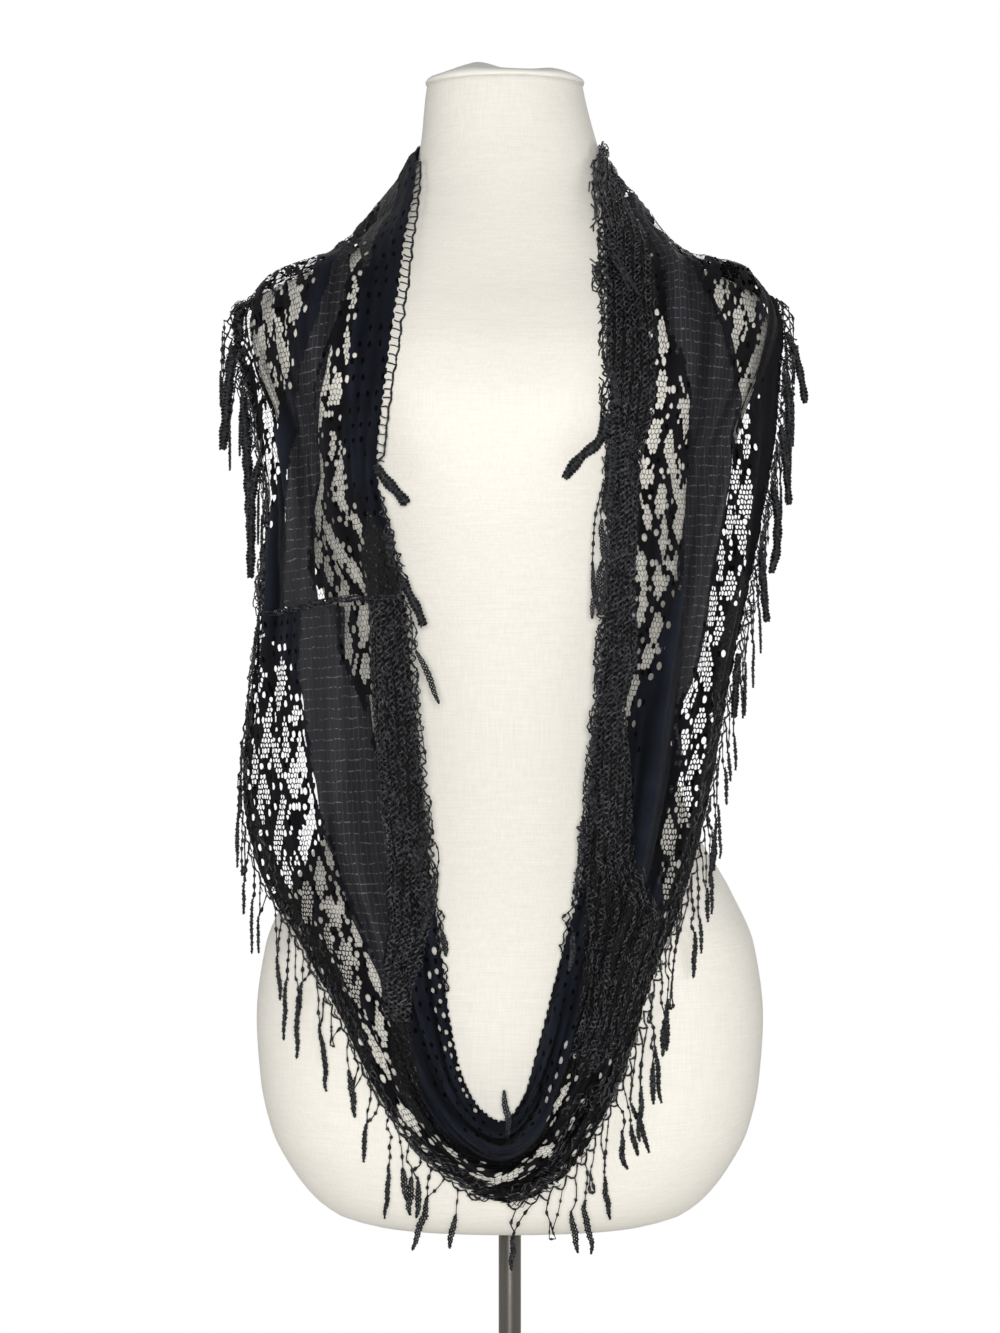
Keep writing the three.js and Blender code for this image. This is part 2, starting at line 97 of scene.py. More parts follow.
def meshObject(name, points, faces, material, smooth=True, uvs=None, faceMaterials=None, shades=None):
    mesh = bpy.data.meshes.new(name)
    mesh.from_pydata([tuple(p) for p in points], [], faces)
    for one in (material if isinstance(material, list) else [material]):
        mesh.materials.append(one)
    if faceMaterials is not None:
        mesh.polygons.foreach_set("material_index", faceMaterials)
    if uvs is not None:
        layer = mesh.uv_layers.new(name="clothMm")
        corners = np.empty(len(mesh.loops), np.int32)
        mesh.loops.foreach_get("vertex_index", corners)
        layer.data.foreach_set("uv", np.asarray(uvs, np.float32)[corners].ravel())
    if shades is not None:
        folds = mesh.attributes.new("foldShade", "FLOAT", "POINT")
        folds.data.foreach_set("value", np.asarray(shades, np.float32))
    mesh.polygons.foreach_set("use_smooth", [smooth] * len(mesh.polygons))
    mesh.update()
    piece = bpy.data.objects.new(name, mesh)
    bpy.context.collection.objects.link(piece)
    return piece


def gridFaces(rows, columns, closed=False):
    # four-sided faces between rows of points; closed goes round and caps both ends
    faces = []
    for i in range(rows - 1):
        for j in range(columns if closed else columns - 1):
            k = (j + 1) % columns
            faces.append((i * columns + j, i * columns + k, (i + 1) * columns + k, (i + 1) * columns + j))
    if closed:
        faces.append(tuple(range((rows - 1) * columns, rows * columns)))
        faces.append(tuple(reversed(range(columns))))
    return faces


# the dress form's shape, as in the construction, in mm
formShape = {
    "neckTopHeight": 1557, "neckTilt": 0.08, "neckTiltStart": 1500, "neckLean": 3.5,
    # height, half width, depth in front, depth behind, squareness
    "rings": [
        (750, 106, 58, 62, 2.2), (757, 125, 78, 82, 2.2), (770, 141, 92, 97, 2.25),
        (790, 156, 102, 107, 2.3), (815, 169, 109, 114, 2.3), (850, 177, 112, 117, 2.3),
        (895, 180, 112, 117, 2.3), (944, 174, 108, 110, 2.3), (984, 157, 101, 101, 2.25),
        (1030, 131, 92, 91, 2.2), (1090, 114, 86, 85, 2.2), (1150, 121, 89, 86, 2.2),
        (1210, 137, 98, 90, 2.25), (1270, 153, 114, 96, 2.3), (1320, 166, 122, 100, 2.4),
        (1355, 179, 115, 99, 2.5), (1385, 185, 102, 95, 2.5), (1404, 177, 92, 89, 2.45),
        (1424, 137, 83, 82, 2.35), (1445, 104, 75, 76, 2.2), (1465, 83, 68, 70, 2.1),
        (1487, 71, 62, 64, 2), (1515, 63, 57, 60, 2), (1557, 55.5, 54, 56, 2),
    ],
    "around": 144, "step": 4,
}


def smoothColumn(xs, ys, at):
    # monotone cubic through the rows, the same curve as the construction's
    xs, ys, at = np.asarray(xs, float), np.asarray(ys, float), np.clip(at, xs[0], xs[-1])
    slopes = np.diff(ys) / np.diff(xs)
    tangents = np.zeros(len(xs))
    tangents[0], tangents[-1] = slopes[0], slopes[-1]
    before, after = slopes[:-1], slopes[1:]
    same = before * after > 0
    total = np.where(same, before + after, 1)
    tangents[1:-1] = np.where(same, 2 * before * after / total, 0)
    i = np.clip(np.searchsorted(xs, at, side="right") - 1, 0, len(xs) - 2)
    span = xs[i + 1] - xs[i]
    u = (at - xs[i]) / span
    return ((1 + 2 * u) * (1 - u) ** 2 * ys[i] + u * u * (3 - 2 * u) * ys[i + 1]
            + u * (1 - u) ** 2 * span * tangents[i] + u * u * (u - 1) * span * tangents[i + 1])


formTable = np.array(formShape["rings"], float)


def formRing(z):
    return [smoothColumn(formTable[:, 0], formTable[:, k], z) for k in range(1, 5)]


def formLevel(p):
    width, front, back, square = formRing(p[..., 2])
    depth = np.where(p[..., 1] < 0, front, back)
    return (np.abs(p[..., 0] / width) ** square + np.abs(p[..., 1] / depth) ** square) ** (1 / square)


def formDistance(p):
    step = 0.5
    slope = np.stack([
        (formLevel(p + step * axis) - formLevel(p - step * axis)) / (2 * step) for axis in np.eye(3)
    ], axis=-1)
    steepness = np.maximum(np.linalg.norm(slope, axis=-1, keepdims=True), 1e-9)
    return (formLevel(p) - 1) / steepness[..., 0], slope / steepness


def clearOfForm(p, gap):
    for _ in range(5):
        distance, outward = formDistance(p)
        p = p + outward * np.maximum(gap - distance, 0)[..., None]
    return p


# the scarf as one surface: s goes across it from 0 to 1, t in stations round the loop
scarfShape = {
    "clearance": 3.4, "wall": 1.5, "pleats": 4, "drift": 0.125,
    "bustHeight": 1320, "bustBlend": 80,      # below the bust the cloth lifts level, above it off the slope
    "gatherStation": 16.4, "gatherReach": 2.6, "gatherRipple": 1.6, "deepestCrease": -1.5,
    # inner edge x, y, z, outer edge x, y, z, bow between them, height of the gathers
    "stations": [
        (0, 66, 1519, 0, 112, 1366, 4, 2.5), (-46, 46, 1518, -104, 98, 1371, 4, 2.5),
        (-65, 10, 1517, -172, 58, 1390, -8, 2), (-65, -28, 1492, -194, 6, 1402, -12, 1.5),
        (-74, -88, 1398, -195, -12, 1374, 0, 1.2), (-83, -117, 1334, -182, -22, 1328, 8, 1.2),
        (-88, -124, 1274, -168, -36, 1264, 8, 1.5), (-79, -125, 1230, -170, -41, 1215, 9, 1.5),
        (-70, -126, 1191, -173, -46, 1179, 11, 1.2), (-63, -128, 1121, -181, -49, 1112, 13, 1.2),
        (-57, -128, 1056, -184, -53, 1049, 13, 1.5), (-52, -128, 1003, -171, -64, 998, 11, 1.8),
        (-45, -127, 951, -143, -88, 956, 9, 2.5), (-39, -127, 905, -115, -107, 910, 7, 3.5),
        (-31, -128, 870, -84, -118, 850, 6, 5), (-20, -130, 851, -50, -124, 810, 5, 6.5),
        (-5, -131, 843, -6, -125, 787, 5, 7), (8, -130, 858, 32, -124, 801, 5, 6.5),
        (17, -129, 888, 57, -121, 834, 5, 5.5), (26, -128, 923, 76, -116, 873, 6, 5),
        (36, -127, 962, 95, -108, 932, 6, 4.5), (46, -127, 1002, 119, -92, 992, 7, 3.5),
        (51, -127, 1055, 136, -79, 1057, 9, 3), (57, -127, 1121, 149, -67, 1125, 9, 2.5),
        (62, -126, 1187, 164, -52, 1190, 9, 2), (65, -125, 1241, 175, -41, 1246, 8, 1.8),
        (65, -122, 1294, 186, -27, 1302, 7, 1.5), (64, -114, 1342, 193, -14, 1353, 5, 1.2),
        (63, -92, 1396, 195, 0, 1386, 0, 1.2), (61, -33, 1492, 187, 22, 1410, -12, 1.5),
        (64, 8, 1517, 168, 60, 1393, -8, 2), (46, 46, 1518, 102, 98, 1372, 4, 2.5),
    ],
    # from, to in stations; start, end across the cloth; spread; height
    "folds": [
        (2.2, 7.6, 0.42, 0.3, 0.05, 5), (3.2, 7.9, 0.66, 0.72, 0.05, 6), (4.5, 9.5, 0.9, 0.86, 0.04, 5),
        (6.2, 13.6, 0.12, 0.2, 0.06, 6), (8.3, 14, 0.42, 0.36, 0.05, 4), (9, 15, 0.74, 0.6, 0.05, 5),
        (10.5, 15.6, 0.05, 0.1, 0.04, 5), (14, 19, 0.3, 0.38, 0.07, 7), (14.6, 18.6, 0.68, 0.62, 0.07, 6),
        (17, 24, 0.1, 0.14, 0.06, 6), (18, 25.5, 0.5, 0.4, 0.06, 6), (19, 27, 0.8, 0.84, 0.05, 6),
        (23, 29, 0.26, 0.34, 0.05, 4), (24, 29.6, 0.64, 0.6, 0.05, 5), (28, 34.5, 0.3, 0.4, 0.07, 7),
        (29, 35, 0.74, 0.7, 0.07, 7),
    ],
    # small lengthwise ripples all over: waves across the cloth, turns for each station, phase, height
    "ripples": [(7, 0.25, 0.4, 0.8), (12, -0.3125, 2.1, 0.6), (19, 0.375, 4.0, 0.35)],
    # finer creases that only the finished cloth shows: from, to, start, end, spread, height
    "creases": [
        (2.6, 6.5, 0.56, 0.5, 0.016, 1.6), (3, 8, 0.49, 0.56, 0.013, -1.3), (3.5, 7.5, 0.2, 0.16, 0.014, 1.4),
        (5, 8, 0.37, 0.33, 0.012, 1.2), (2.8, 5.5, 0.8, 0.76, 0.02, -2), (4, 7.8, 0.83, 0.8, 0.014, 1.7),
        (8.1, 12, 0.62, 0.5, 0.018, -2), (8.2, 11, 0.31, 0.26, 0.013, 1.5), (9, 13.5, 0.48, 0.52, 0.014, 1.4),
        (8.5, 13, 0.88, 0.9, 0.014, 1.8), (11, 15.5, 0.3, 0.24, 0.02, -2.2), (12, 16, 0.5, 0.52, 0.018, 2.4),
        (13.5, 18, 0.16, 0.2, 0.018, 2.2), (14, 18.4, 0.48, 0.5, 0.02, -2.6),
        (14.5, 18.8, 0.84, 0.8, 0.018, 2.4), (17, 21, 0.28, 0.22, 0.018, -2.4),
        (18, 22.5, 0.64, 0.68, 0.018, 2.4), (18.5, 24, 0.35, 0.3, 0.014, 1.8),
        (20, 26, 0.93, 0.92, 0.014, 1.8), (21, 26.5, 0.57, 0.62, 0.014, -1.8),
        (23, 28, 0.5, 0.46, 0.012, 1.3), (24, 29.2, 0.74, 0.7, 0.016, 1.8), (25, 29.4, 0.15, 0.2, 0.014, 1.4),
        (29, 35, 0.5, 0.56, 0.02, -2.4), (29.5, 34.6, 0.14, 0.18, 0.018, 2),
        (28.6, 35, 0.88, 0.86, 0.018, 2.2),
    ],
}
stationTable = np.array(scarfShape["stations"], float)
stationCount = len(stationTable)


def aroundLoop(column, t):
    i = np.floor(t).astype(int)
    u = t - i
    a, b, c, d = (stationTable[(i + k) % stationCount, column] for k in (-1, 0, 1, 2))
    return b + 0.5 * u * (c - a + u * (2 * a - 5 * b + 4 * c - d + u * (3 * (b - c) + d - a)))


def foldHeight(s, t, rows):
    height = np.zeros_like(s)
    for start, end, sFrom, sTo, spread, tall in rows:
        for turn in (0, stationCount):
            share = (t + turn - start) / (end - start)
            inside = (share > 0) & (share < 1)
            offset = (s - (sFrom + (sTo - sFrom) * share)) / spread
            height += np.where(inside, tall * np.sin(np.pi * np.clip(share, 0, 1)) * np.exp(-offset ** 2), 0)
    return height


def outwardAt(p):
    _, outward = formDistance(p)
    outward = outward.copy()
    outward[..., 2] *= softStep((p[..., 2] - scarfShape["bustHeight"]) / scarfShape["bustBlend"])
    return unit(outward)


def clothPoints(s, t):
    ends = [aroundLoop(k, t) for k in range(8)]
    p = np.stack([ends[k] + (ends[k + 3] - ends[k]) * s for k in range(3)], axis=-1)
    p = p + outwardAt(p) * (ends[6] * 4 * s * (1 - s))[..., None]
    p = clearOfForm(p, scarfShape["clearance"])
    even = 0.5 - 0.5 * np.cos(2 * np.pi * (scarfShape["pleats"] * s + scarfShape["drift"] * t))
    held = np.sqrt(np.clip(np.sin(np.pi * np.clip(s, 0, 1)), 0, 1))
    lift = even * ends[7] * held + foldHeight(s, t, scarfShape["folds"])
    creases = np.maximum(foldHeight(s, t, scarfShape["creases"]), scarfShape["deepestCrease"])
    lift = lift + creases + scarfShape["wall"] / 2
    fromGather = (t - scarfShape["gatherStation"]) / scarfShape["gatherReach"]
    gathered = 1 + scarfShape["gatherRipple"] * np.exp(-fromGather ** 2)
    for across, along, phase, tall in scarfShape["ripples"]:      # they come and go round the loop
        strength = 0.55 + 0.45 * np.sin(2 * np.pi * (1.7 * s + (across - 4) * t / stationCount) + 2 * phase)
        lift = lift + gathered * tall * strength * np.sin(2 * np.pi * (across * s + along * t) + phase)
    return p + outwardAt(p) * lift[..., None], lift


sampling = {"across": 133, "perStation": 14, "overhang": 0.16, "widest": 226,
            "shadeReach": 13, "shadeDepth": 1.6}      # points across, and mm of lift for the full shade
sLine = np.linspace(-sampling["overhang"], 1 + sampling["overhang"], sampling["across"])
tLine = np.linspace(-1, stationCount + 1, (stationCount + 2) * sampling["perStation"] + 1)
sGrid, tGrid = np.meshgrid(sLine, tLine)
clothGrid, liftGrid = clothPoints(sGrid, tGrid)
normalGrid = unit(np.cross(np.gradient(clothGrid, axis=1), np.gradient(clothGrid, axis=0)))
facing = np.sum(normalGrid * outwardAt(clothGrid), axis=-1, keepdims=True)
normalGrid *= np.where(np.mean(facing) < 0, -1, 1)
# how far each point stands above (to 1) or lies below (to 0) the cloth round it, for the painted shade in the
# folds
reach = sampling["shadeReach"]
window = np.ones(reach) / reach
padded = np.pad(liftGrid, ((0, 0), (reach // 2, reach // 2)), mode="edge")
around = np.array([np.convolve(row, window, mode="valid") for row in padded])
shadeGrid = np.clip(0.5 + (liftGrid - around) / (2 * sampling["shadeDepth"]), 0, 1)
print("cloth surface worked out:", clothGrid.shape)


def fromGrid(grid, line, s, t):
    # the grid's value at s and t, blended between its rows and columns
    x = (s - line[0]) / (line[1] - line[0])
    y = (np.mod(t, stationCount) - tLine[0]) / (tLine[1] - tLine[0])
    i = np.clip(np.floor(x).astype(int), 0, len(line) - 2)
    j = np.clip(np.floor(y).astype(int), 0, len(tLine) - 2)
    fx, fy = x - i, y - j
    if grid.ndim == 3:
        fx, fy = fx[..., None], fy[..., None]
    low = grid[j, i] * (1 - fx) + grid[j, i + 1] * fx
    high = grid[j + 1, i] * (1 - fx) + grid[j + 1, i + 1] * fx
    return low * (1 - fy) + high * fy


def onCloth(s, t, lift=0.0):
    # a point of the finished cloth in metres, lifted off its face by lift mm
    s, t = np.broadcast_arrays(np.asarray(s, float), np.asarray(t, float))
    lifted = fromGrid(normalGrid, sLine, s, t) * np.asarray(lift, float)[..., None]
    return (fromGrid(clothGrid, sLine, s, t) + lifted) * mm


# laid flat: u is mm across the cloth from its inner edge, v mm round the loop along its middle
arcGrid = np.linalg.norm(np.diff(clothGrid, axis=1), axis=-1).cumsum(axis=1)
arcGrid = np.concatenate([np.zeros((len(tLine), 1)), arcGrid], axis=1)
arcGrid -= np.array([np.interp(0, sLine, row) for row in arcGrid])[:, None]
widthRow = np.array([np.interp(1, sLine, row) for row in arcGrid])
uLine = np.arange(-20, sampling["widest"], 1.0)
sOfU = np.array([np.interp(uLine, row, sLine) for row in arcGrid])
onStrip = (sLine >= 0) & (sLine <= 1)
vRow = np.linalg.norm(np.diff(clothGrid[:, onStrip], axis=0), axis=-1).mean(axis=1).cumsum()
vRow = np.concatenate([[0], vRow])
vRow -= np.interp(0, tLine, vRow)
loopLength = float(np.interp(stationCount, tLine, vRow))


def toFlat(s, t):
    s, t = np.broadcast_arrays(np.asarray(s, float), np.asarray(t, float))
    turns = np.floor(t / stationCount)
    v = np.interp(t - turns * stationCount, tLine, vRow) + turns * loopLength
    return fromGrid(arcGrid, sLine, s, t), v


def fromFlat(u, v):
    turns = np.floor(v / loopLength)
    t = np.interp(v - turns * loopLength, vRow, tLine)
    return fromGrid(sOfU, uLine, u, t), t + turns * stationCount


print("loop laid flat:", round(loopLength), "mm round,", round(widthRow.min()), "to",
      round(widthRow.max()), "mm across")


def paintedFoldShade(material, colour, darkest, brightest):
    # painted shade: the cloth's colour is made darker down in a fold and a little lighter on its crest, where
    # it would get less and more light
    shade = addNode(material, "Attribute", {"attribute_name": "foldShade"})
    level = addNode(material, "MapRange", {"To Min": darkest, "To Max": brightest},
                    {"Value": shade.outputs["Fac"]})
    return addNode(material, "VectorMath", {"operation": "SCALE"}, {0: colour, "Scale": level})


# Warp-knitted lace in black polyamide: a close matte knit with fine ribs, soft sheen on the folds, and
# slightly darker and lighter patches. The uv map is in mm, so a pattern's scale is 1 over its size
def knittedLace(name, hexColour, sheen, ribMm, roughness=0.62, bumpMm=0.25):
    material, shader = newMaterial(name, {
        "Roughness": roughness, "Sheen Weight": sheen, "Sheen Roughness": 0.4, "Specular IOR Level": 0.05})
    uv = addNode(material, "UVMap", {"uv_map": "clothMm"})
    ribs = addNode(material, "TexWave", {
        "bands_direction": "X", "Scale": 0.314 / ribMm, "Distortion": 2.2, "Detail": 2.0, "Detail Scale": 1.4
    }, {"Vector": uv})
    loops = addNode(material, "TexVoronoi", {"Scale": 1 / (ribMm * 0.9)}, {"Vector": uv})
    patches = addNode(material, "TexNoise", {"Scale": 1 / 28.6, "Detail": 3.0}, {"Vector": uv})
    ramp = addNode(material, "ValToRGB", {}, {"Fac": patches})
    for stop, place, share in zip(ramp.color_ramp.elements, (0.3, 0.72), (0.72, 1.45)):
        stop.position = place
        stop.color = tinted(toLinear(hexColour), share)
    # painted shade of the folds on the knit's colour
    join(material, paintedFoldShade(material, ramp, 0.25, 1.8), shader.inputs["Base Color"])
    height = addNode(material, "Math", {"operation": "ADD"}, {0: ribs.outputs["Fac"], 1: loops})
    bump = addNode(material, "Bump", {"Strength": 0.8, "Distance": bumpMm * mm}, {"Height": height})
    join(material, bump, shader.inputs["Normal"])
    return material


laceBlack = knittedLace("warpKnitLaceBlack", "#0b0b0e", 0.01, 1.0)
tricotNavy = knittedLace("tricotKnitNavyBlack", "#11131a", 0.04, 0.8, 0.8, 0.15)
# painted shade: a darker, duller copy of the black knit, drawn on closed eyelet cells and stray cells as if
# they lay in shade
eyeletShade = knittedLace("shadedEyeletBlack", "#020203", 0.0, 1.0, 0.95)


# Close edge lace: plaited glossy yarn, black, with many small pale points painted into its colour as
# highlights where its strands turn to the light. A turn is drawn 1.18 by 2.5 mm, coarser than the real one,
# so that it shows
def closeEdgeLace():
    material, shader = newMaterial("closeEdgeLaceBlack", {"Roughness": 0.5, "Specular IOR Level": 0.12})
    uv = addNode(material, "UVMap", {"uv_map": "clothMm"})
    stretched = addNode(material, "Mapping", {"Scale": (1 / 1.18, 1 / 2.5, 1)}, {"Vector": uv})
    strands = addNode(material, "TexVoronoi", {"Scale": 1.0}, {"Vector": stretched})
    chance = addNode(material, "SeparateColor", {}, {"Color": strands.outputs["Color"]})
    glintCells = addNode(material, "MapRange", {"From Min": 0.8, "From Max": 1.0}, {"Value": chance})
    centre = addNode(material, "MapRange", {"From Min": 0.45, "From Max": 0.1}, {"Value": strands})
    point = addNode(material, "Math", {"operation": "MULTIPLY"}, {0: glintCells, 1: centre})
    # painted highlight: the chosen strand centres turn from black to grey in the colour
    tint = addNode(material, "Mix", {"data_type": "RGBA"}, {"Factor": point})
    tint.inputs["A"].default_value = toLinear("#020203")
    tint.inputs["B"].default_value = toLinear("#63646a")
    # painted shade of the folds on the plaited lace's colour
    join(material, paintedFoldShade(material, tint.outputs["Result"], 0.3, 1.4), shader.inputs["Base Color"])
    bump = addNode(material, "Bump", {"Strength": 1.0, "Distance": 0.9 * mm, "invert": True},
                   {"Height": strands})
    join(material, bump, shader.inputs["Normal"])
    return material


denseBlack = closeEdgeLace()


# Sheer voile strip: dark film of fine threads that lets a little of the form show through, with pale
# laid-in threads across it
def sheerVoile():
    material, shader = newMaterial("sheerVoileGrey", {"Roughness": 0.75, "Specular IOR Level": 0.08})
    uv = addNode(material, "UVMap", {"uv_map": "clothMm"})
    split = addNode(material, "SeparateXYZ", {}, {"Vector": uv})
    wobble = addNode(material, "TexNoise", {"Scale": 1 / 8.33, "Detail": 3.0}, {"Vector": uv})
    lift = addNode(material, "Math", {"operation": "MULTIPLY_ADD", 1: 5.0},
                   {0: wobble, 2: split.outputs["Y"]})

    def threads(coordinate, pitch, wide):
        # 1 on a thread, 0 between threads
        turn = addNode(material, "Math", {"operation": "DIVIDE", 1: pitch}, {0: coordinate})
        place = addNode(material, "Math", {"operation": "FRACT"}, {0: turn})
        off = addNode(material, "Math", {"operation": "SUBTRACT", 1: 0.5}, {0: place})
        away = addNode(material, "Math", {"operation": "ABSOLUTE"}, {0: off})
        return addNode(material, "MapRange", {"From Min": wide, "From Max": wide * 0.4}, {"Value": away})

    across = threads(lift, 7.0, 0.07)
    along = threads(split, 3.7, 0.12)
    broken = addNode(material, "TexNoise", {"Scale": 1 / 2.0, "Detail": 2.0}, {"Vector": uv})
    gap = addNode(material, "MapRange", {"From Min": 0.44, "From Max": 0.6}, {"Value": broken})
    pale = addNode(material, "Math", {"operation": "MULTIPLY"}, {0: across, 1: gap})
    faint = addNode(material, "Math", {"operation": "MULTIPLY", 1: 0.16}, {0: along})
    thread = addNode(material, "Math", {"operation": "MAXIMUM"}, {0: pale, 1: faint})
    tint = addNode(material, "Mix", {"data_type": "RGBA"}, {"Factor": thread})
    tint.inputs["A"].default_value = toLinear("#212124")
    tint.inputs["B"].default_value = toLinear("#5d5d61")
    # painted shade of the folds on the voile's colour
    join(material, paintedFoldShade(material, tint.outputs["Result"], 0.35, 1.6), shader.inputs["Base Color"])
    cover = addNode(material, "MapRange", {"To Min": 0.99, "To Max": 1.0}, {"Value": along})
    join(material, cover, shader.inputs["Alpha"])
    weave = addNode(material, "TexNoise", {"Scale": 1 / 0.625, "Detail": 2.0}, {"Vector": uv})
    bump = addNode(material, "Bump", {"Strength": 0.5, "Distance": 0.2 * mm}, {"Height": weave})
    join(material, bump, shader.inputs["Normal"])
    return material


voile = sheerVoile()


# Twisted polyester yarn: near black, with small highlights on its turns painted into its colour; the turns
# are drawn about twice as long as the real ones so that they show
def twistedYarn(name, hexColour, roughness, turnMm=2.38):
    material, shader = newMaterial(name, {"Roughness": roughness, "Specular IOR Level": 0.2})
    place = addNode(material, "NewGeometry")
    turns = addNode(material, "TexNoise", {"Scale": 1 / (turnMm * mm), "Detail": 3.0}, {"Vector": place})
    # painted highlight: the noise lifts the yarn's colour up to nine times on some turns
    ramp = addNode(material, "ValToRGB", {}, {"Fac": turns})
    for stop, place, share in zip(ramp.color_ramp.elements, (0.44, 0.68), (0.18, 9.0)):
        stop.position = place
        stop.color = tinted(toLinear(hexColour), share)
    join(material, ramp, shader.inputs["Base Color"])
    bump = addNode(material, "Bump", {"Strength": 0.9, "Distance": 0.3 * mm}, {"Height": turns})
    join(material, bump, shader.inputs["Normal"])
    return material


fringeYarn = twistedYarn("twistedFringeYarnBlack", "#0e0f11", 0.5)
curlYarn = twistedYarn("glossyEdgeYarnBlack", "#1a1a1c", 0.28)
seamYarn = twistedYarn("overlockYarnBlack", "#0f0f12", 0.6)


# Linen cover: plain weave in cream, thick and thin threads both ways, dry and matte
def linenCover(name, hexColour):
    material, shader = newMaterial(name, {"Roughness": 0.88, "Sheen Weight": 0.1, "Specular IOR Level": 0.25})
    place = addNode(material, "TexCoord")
    threads = []
    for size in ((16.7, 16.7, 0.667), (0.909, 0.909, 22.2)):      # mm of a slub in the weft, then in the warp
        scaled = addNode(material, "Mapping", {"Scale": [1 / (c * mm) for c in size]},
                         {"Vector": place.outputs["Object"]})
        threads.append(addNode(material, "TexNoise", {"Scale": 1.0, "Detail": 2.0}, {"Vector": scaled}))
    woven = addNode(material, "Math", {"operation": "ADD"}, {0: threads[0], 1: threads[1]})
    shade = addNode(material, "MapRange", {"From Min": 0.7, "From Max": 1.3}, {"Value": woven})
    tint = addNode(material, "Mix", {"data_type": "RGBA"}, {"Factor": shade})
    tint.inputs["A"].default_value = tinted(toLinear(hexColour), 0.93)
    tint.inputs["B"].default_value = tinted(toLinear(hexColour), 1.03)
    join(material, tint.outputs["Result"], shader.inputs["Base Color"])
    bump = addNode(material, "Bump", {"Strength": 0.35, "Distance": 0.25 * mm}, {"Height": woven})
    join(material, bump, shader.inputs["Normal"])
    return material


linen = linenCover("linenPlainWeaveCream", "#f3efe5")
capLinen = linenCover("linenNeckCapCream", "#f5f2ea")


# Lacquered steel: brown-black satin coat, long soft highlights
def lacqueredSteel(name, hexColour, roughness, grainMm):
    material, shader = newMaterial(name, {"Metallic": 0.35, "Base Color": toLinear(hexColour)})
    place = addNode(material, "TexCoord")
    specks = addNode(material, "TexNoise", {"Scale": 1 / (grainMm * mm), "Detail": 4.0},
                     {"Vector": place.outputs["Object"]})
    rough = addNode(material, "MapRange", {"To Min": roughness - 0.08, "To Max": roughness + 0.1},
                    {"Value": specks})
    join(material, rough, shader.inputs["Roughness"])
    bump = addNode(material, "Bump", {"Strength": 0.15, "Distance": 0.1 * mm}, {"Height": specks})
    join(material, bump, shader.inputs["Normal"])
    return material


poleSteel = lacqueredSteel("lacqueredSteelTube", "#45413b", 0.38, 3.33)
baseSteel = lacqueredSteel("powderCoatedSteelPlate", "#3a3835", 0.5, 1.11)
print("materials made")


def superellipse(z, around, grow=0.0):
    width, front, back, square = (float(v) for v in formRing(np.array(float(z))))
    start, top = formShape["neckTiltStart"], formShape["neckTopHeight"]
    upNeck = float(softStep((z - start) / (top - start)))
    tilt, lean = formShape["neckTilt"] * upNeck, formShape["neckLean"] * upNeck
    points = []
    for j in range(around):
        angle = 2 * math.pi * j / around
        c, s = math.cos(angle), math.sin(angle)
        depth = front if s < 0 else back
        x = (width + grow) * math.copysign(abs(c) ** (2 / square), c)
        y = (depth + grow) * math.copysign(abs(s) ** (2 / square), s)
        points.append(((x - lean) * mm, y * mm, (z + tilt * y) * mm))
    return points


def dressForm():
    around, bottom, top = formShape["around"], formShape["rings"][0][0], formShape["neckTopHeight"]
    hemRing = superellipse(bottom, around)
    rows = [[(x * share, y * share, z) for x, y, z in hemRing] for share in (0.09, 0.5, 0.85)]
    hem = [bottom, bottom + 1.5, bottom + 3.5, bottom + 7, bottom + 11, bottom + 16]
    heights = np.concatenate([hem, np.arange(bottom + 20, top, formShape["step"]), [top]])
    rows += [superellipse(z, around) for z in heights]
    rows.append([(x * 0.97, y * 0.97, z + 0.0002) for x, y, z in superellipse(top, around)])
    points = [p for row in rows for p in row]
    return meshObject("dressFormLinen", points, gridFaces(len(rows), around, closed=True), linen)


def neckCap():
    # a cloth cap on the neck's rim, a little loose so that it rumples
    values = {
        "around": 144, "gap": 0.3,
        # share of the neck's outline, rise in mm
        "rings": [(0.99, 0.2), (1.018, 0.9), (1.022, 2.2), (1.0, 3.6), (0.965, 4.6), (0.9, 5.4),
                  (0.8, 5.9), (0.66, 6.1), (0.5, 6.0), (0.33, 5.7), (0.16, 5.5), (0.03, 5.4)],
        # x, y, reach, height
        "rumples": [(-22, -26, 17, 6.9), (27, -24, 15, 3.2), (-30, 22, 18, 3.5), (20, 26, 20, 4.4),
                    (-47, -8, 9, 2.0), (44, 2, 12, 1.6), (4, -34, 9, -1.6), (-4, 6, 16, -1.5)],
    }
    edge = superellipse(formShape["neckTopHeight"], values["around"])
    lean = formShape["neckLean"] * mm
    points = []
    for share, rise in values["rings"]:
        for x, y, z in edge:
            px, py = (x + lean) * share - lean, y * share
            pz = z + (values["gap"] + rise) * mm + (py - y) * formShape["neckTilt"]
            for cx, cy, reach, tall in values["rumples"]:
                away = math.hypot(px / mm - cx, py / mm - cy) / reach
                pz += tall * mm * float(softStep(rise / 5)) * math.exp(-away * away)
            points.append((px, py, pz))
    faces = gridFaces(len(values["rings"]), values["around"], closed=True)
    return meshObject("neckCapLinen", points, faces, capLinen)


def lathe(name, profile, material, around):
    turns = [2 * math.pi * j / around for j in range(around)]
    points = [(r * mm * math.cos(a), r * mm * math.sin(a), z * mm) for r, z in profile for a in turns]
    piece = meshObject(name, points, gridFaces(len(profile), around, closed=True), material)
    for cap in (-1, -2):
        piece.data.polygons[cap].use_smooth = False
    return piece


standShape = {"poleRadius": 8, "poleFoot": 7, "poleTop": 759,
              "baseRadius": 175, "baseThickness": 7, "hubRadius": 19, "hubHeight": 46}


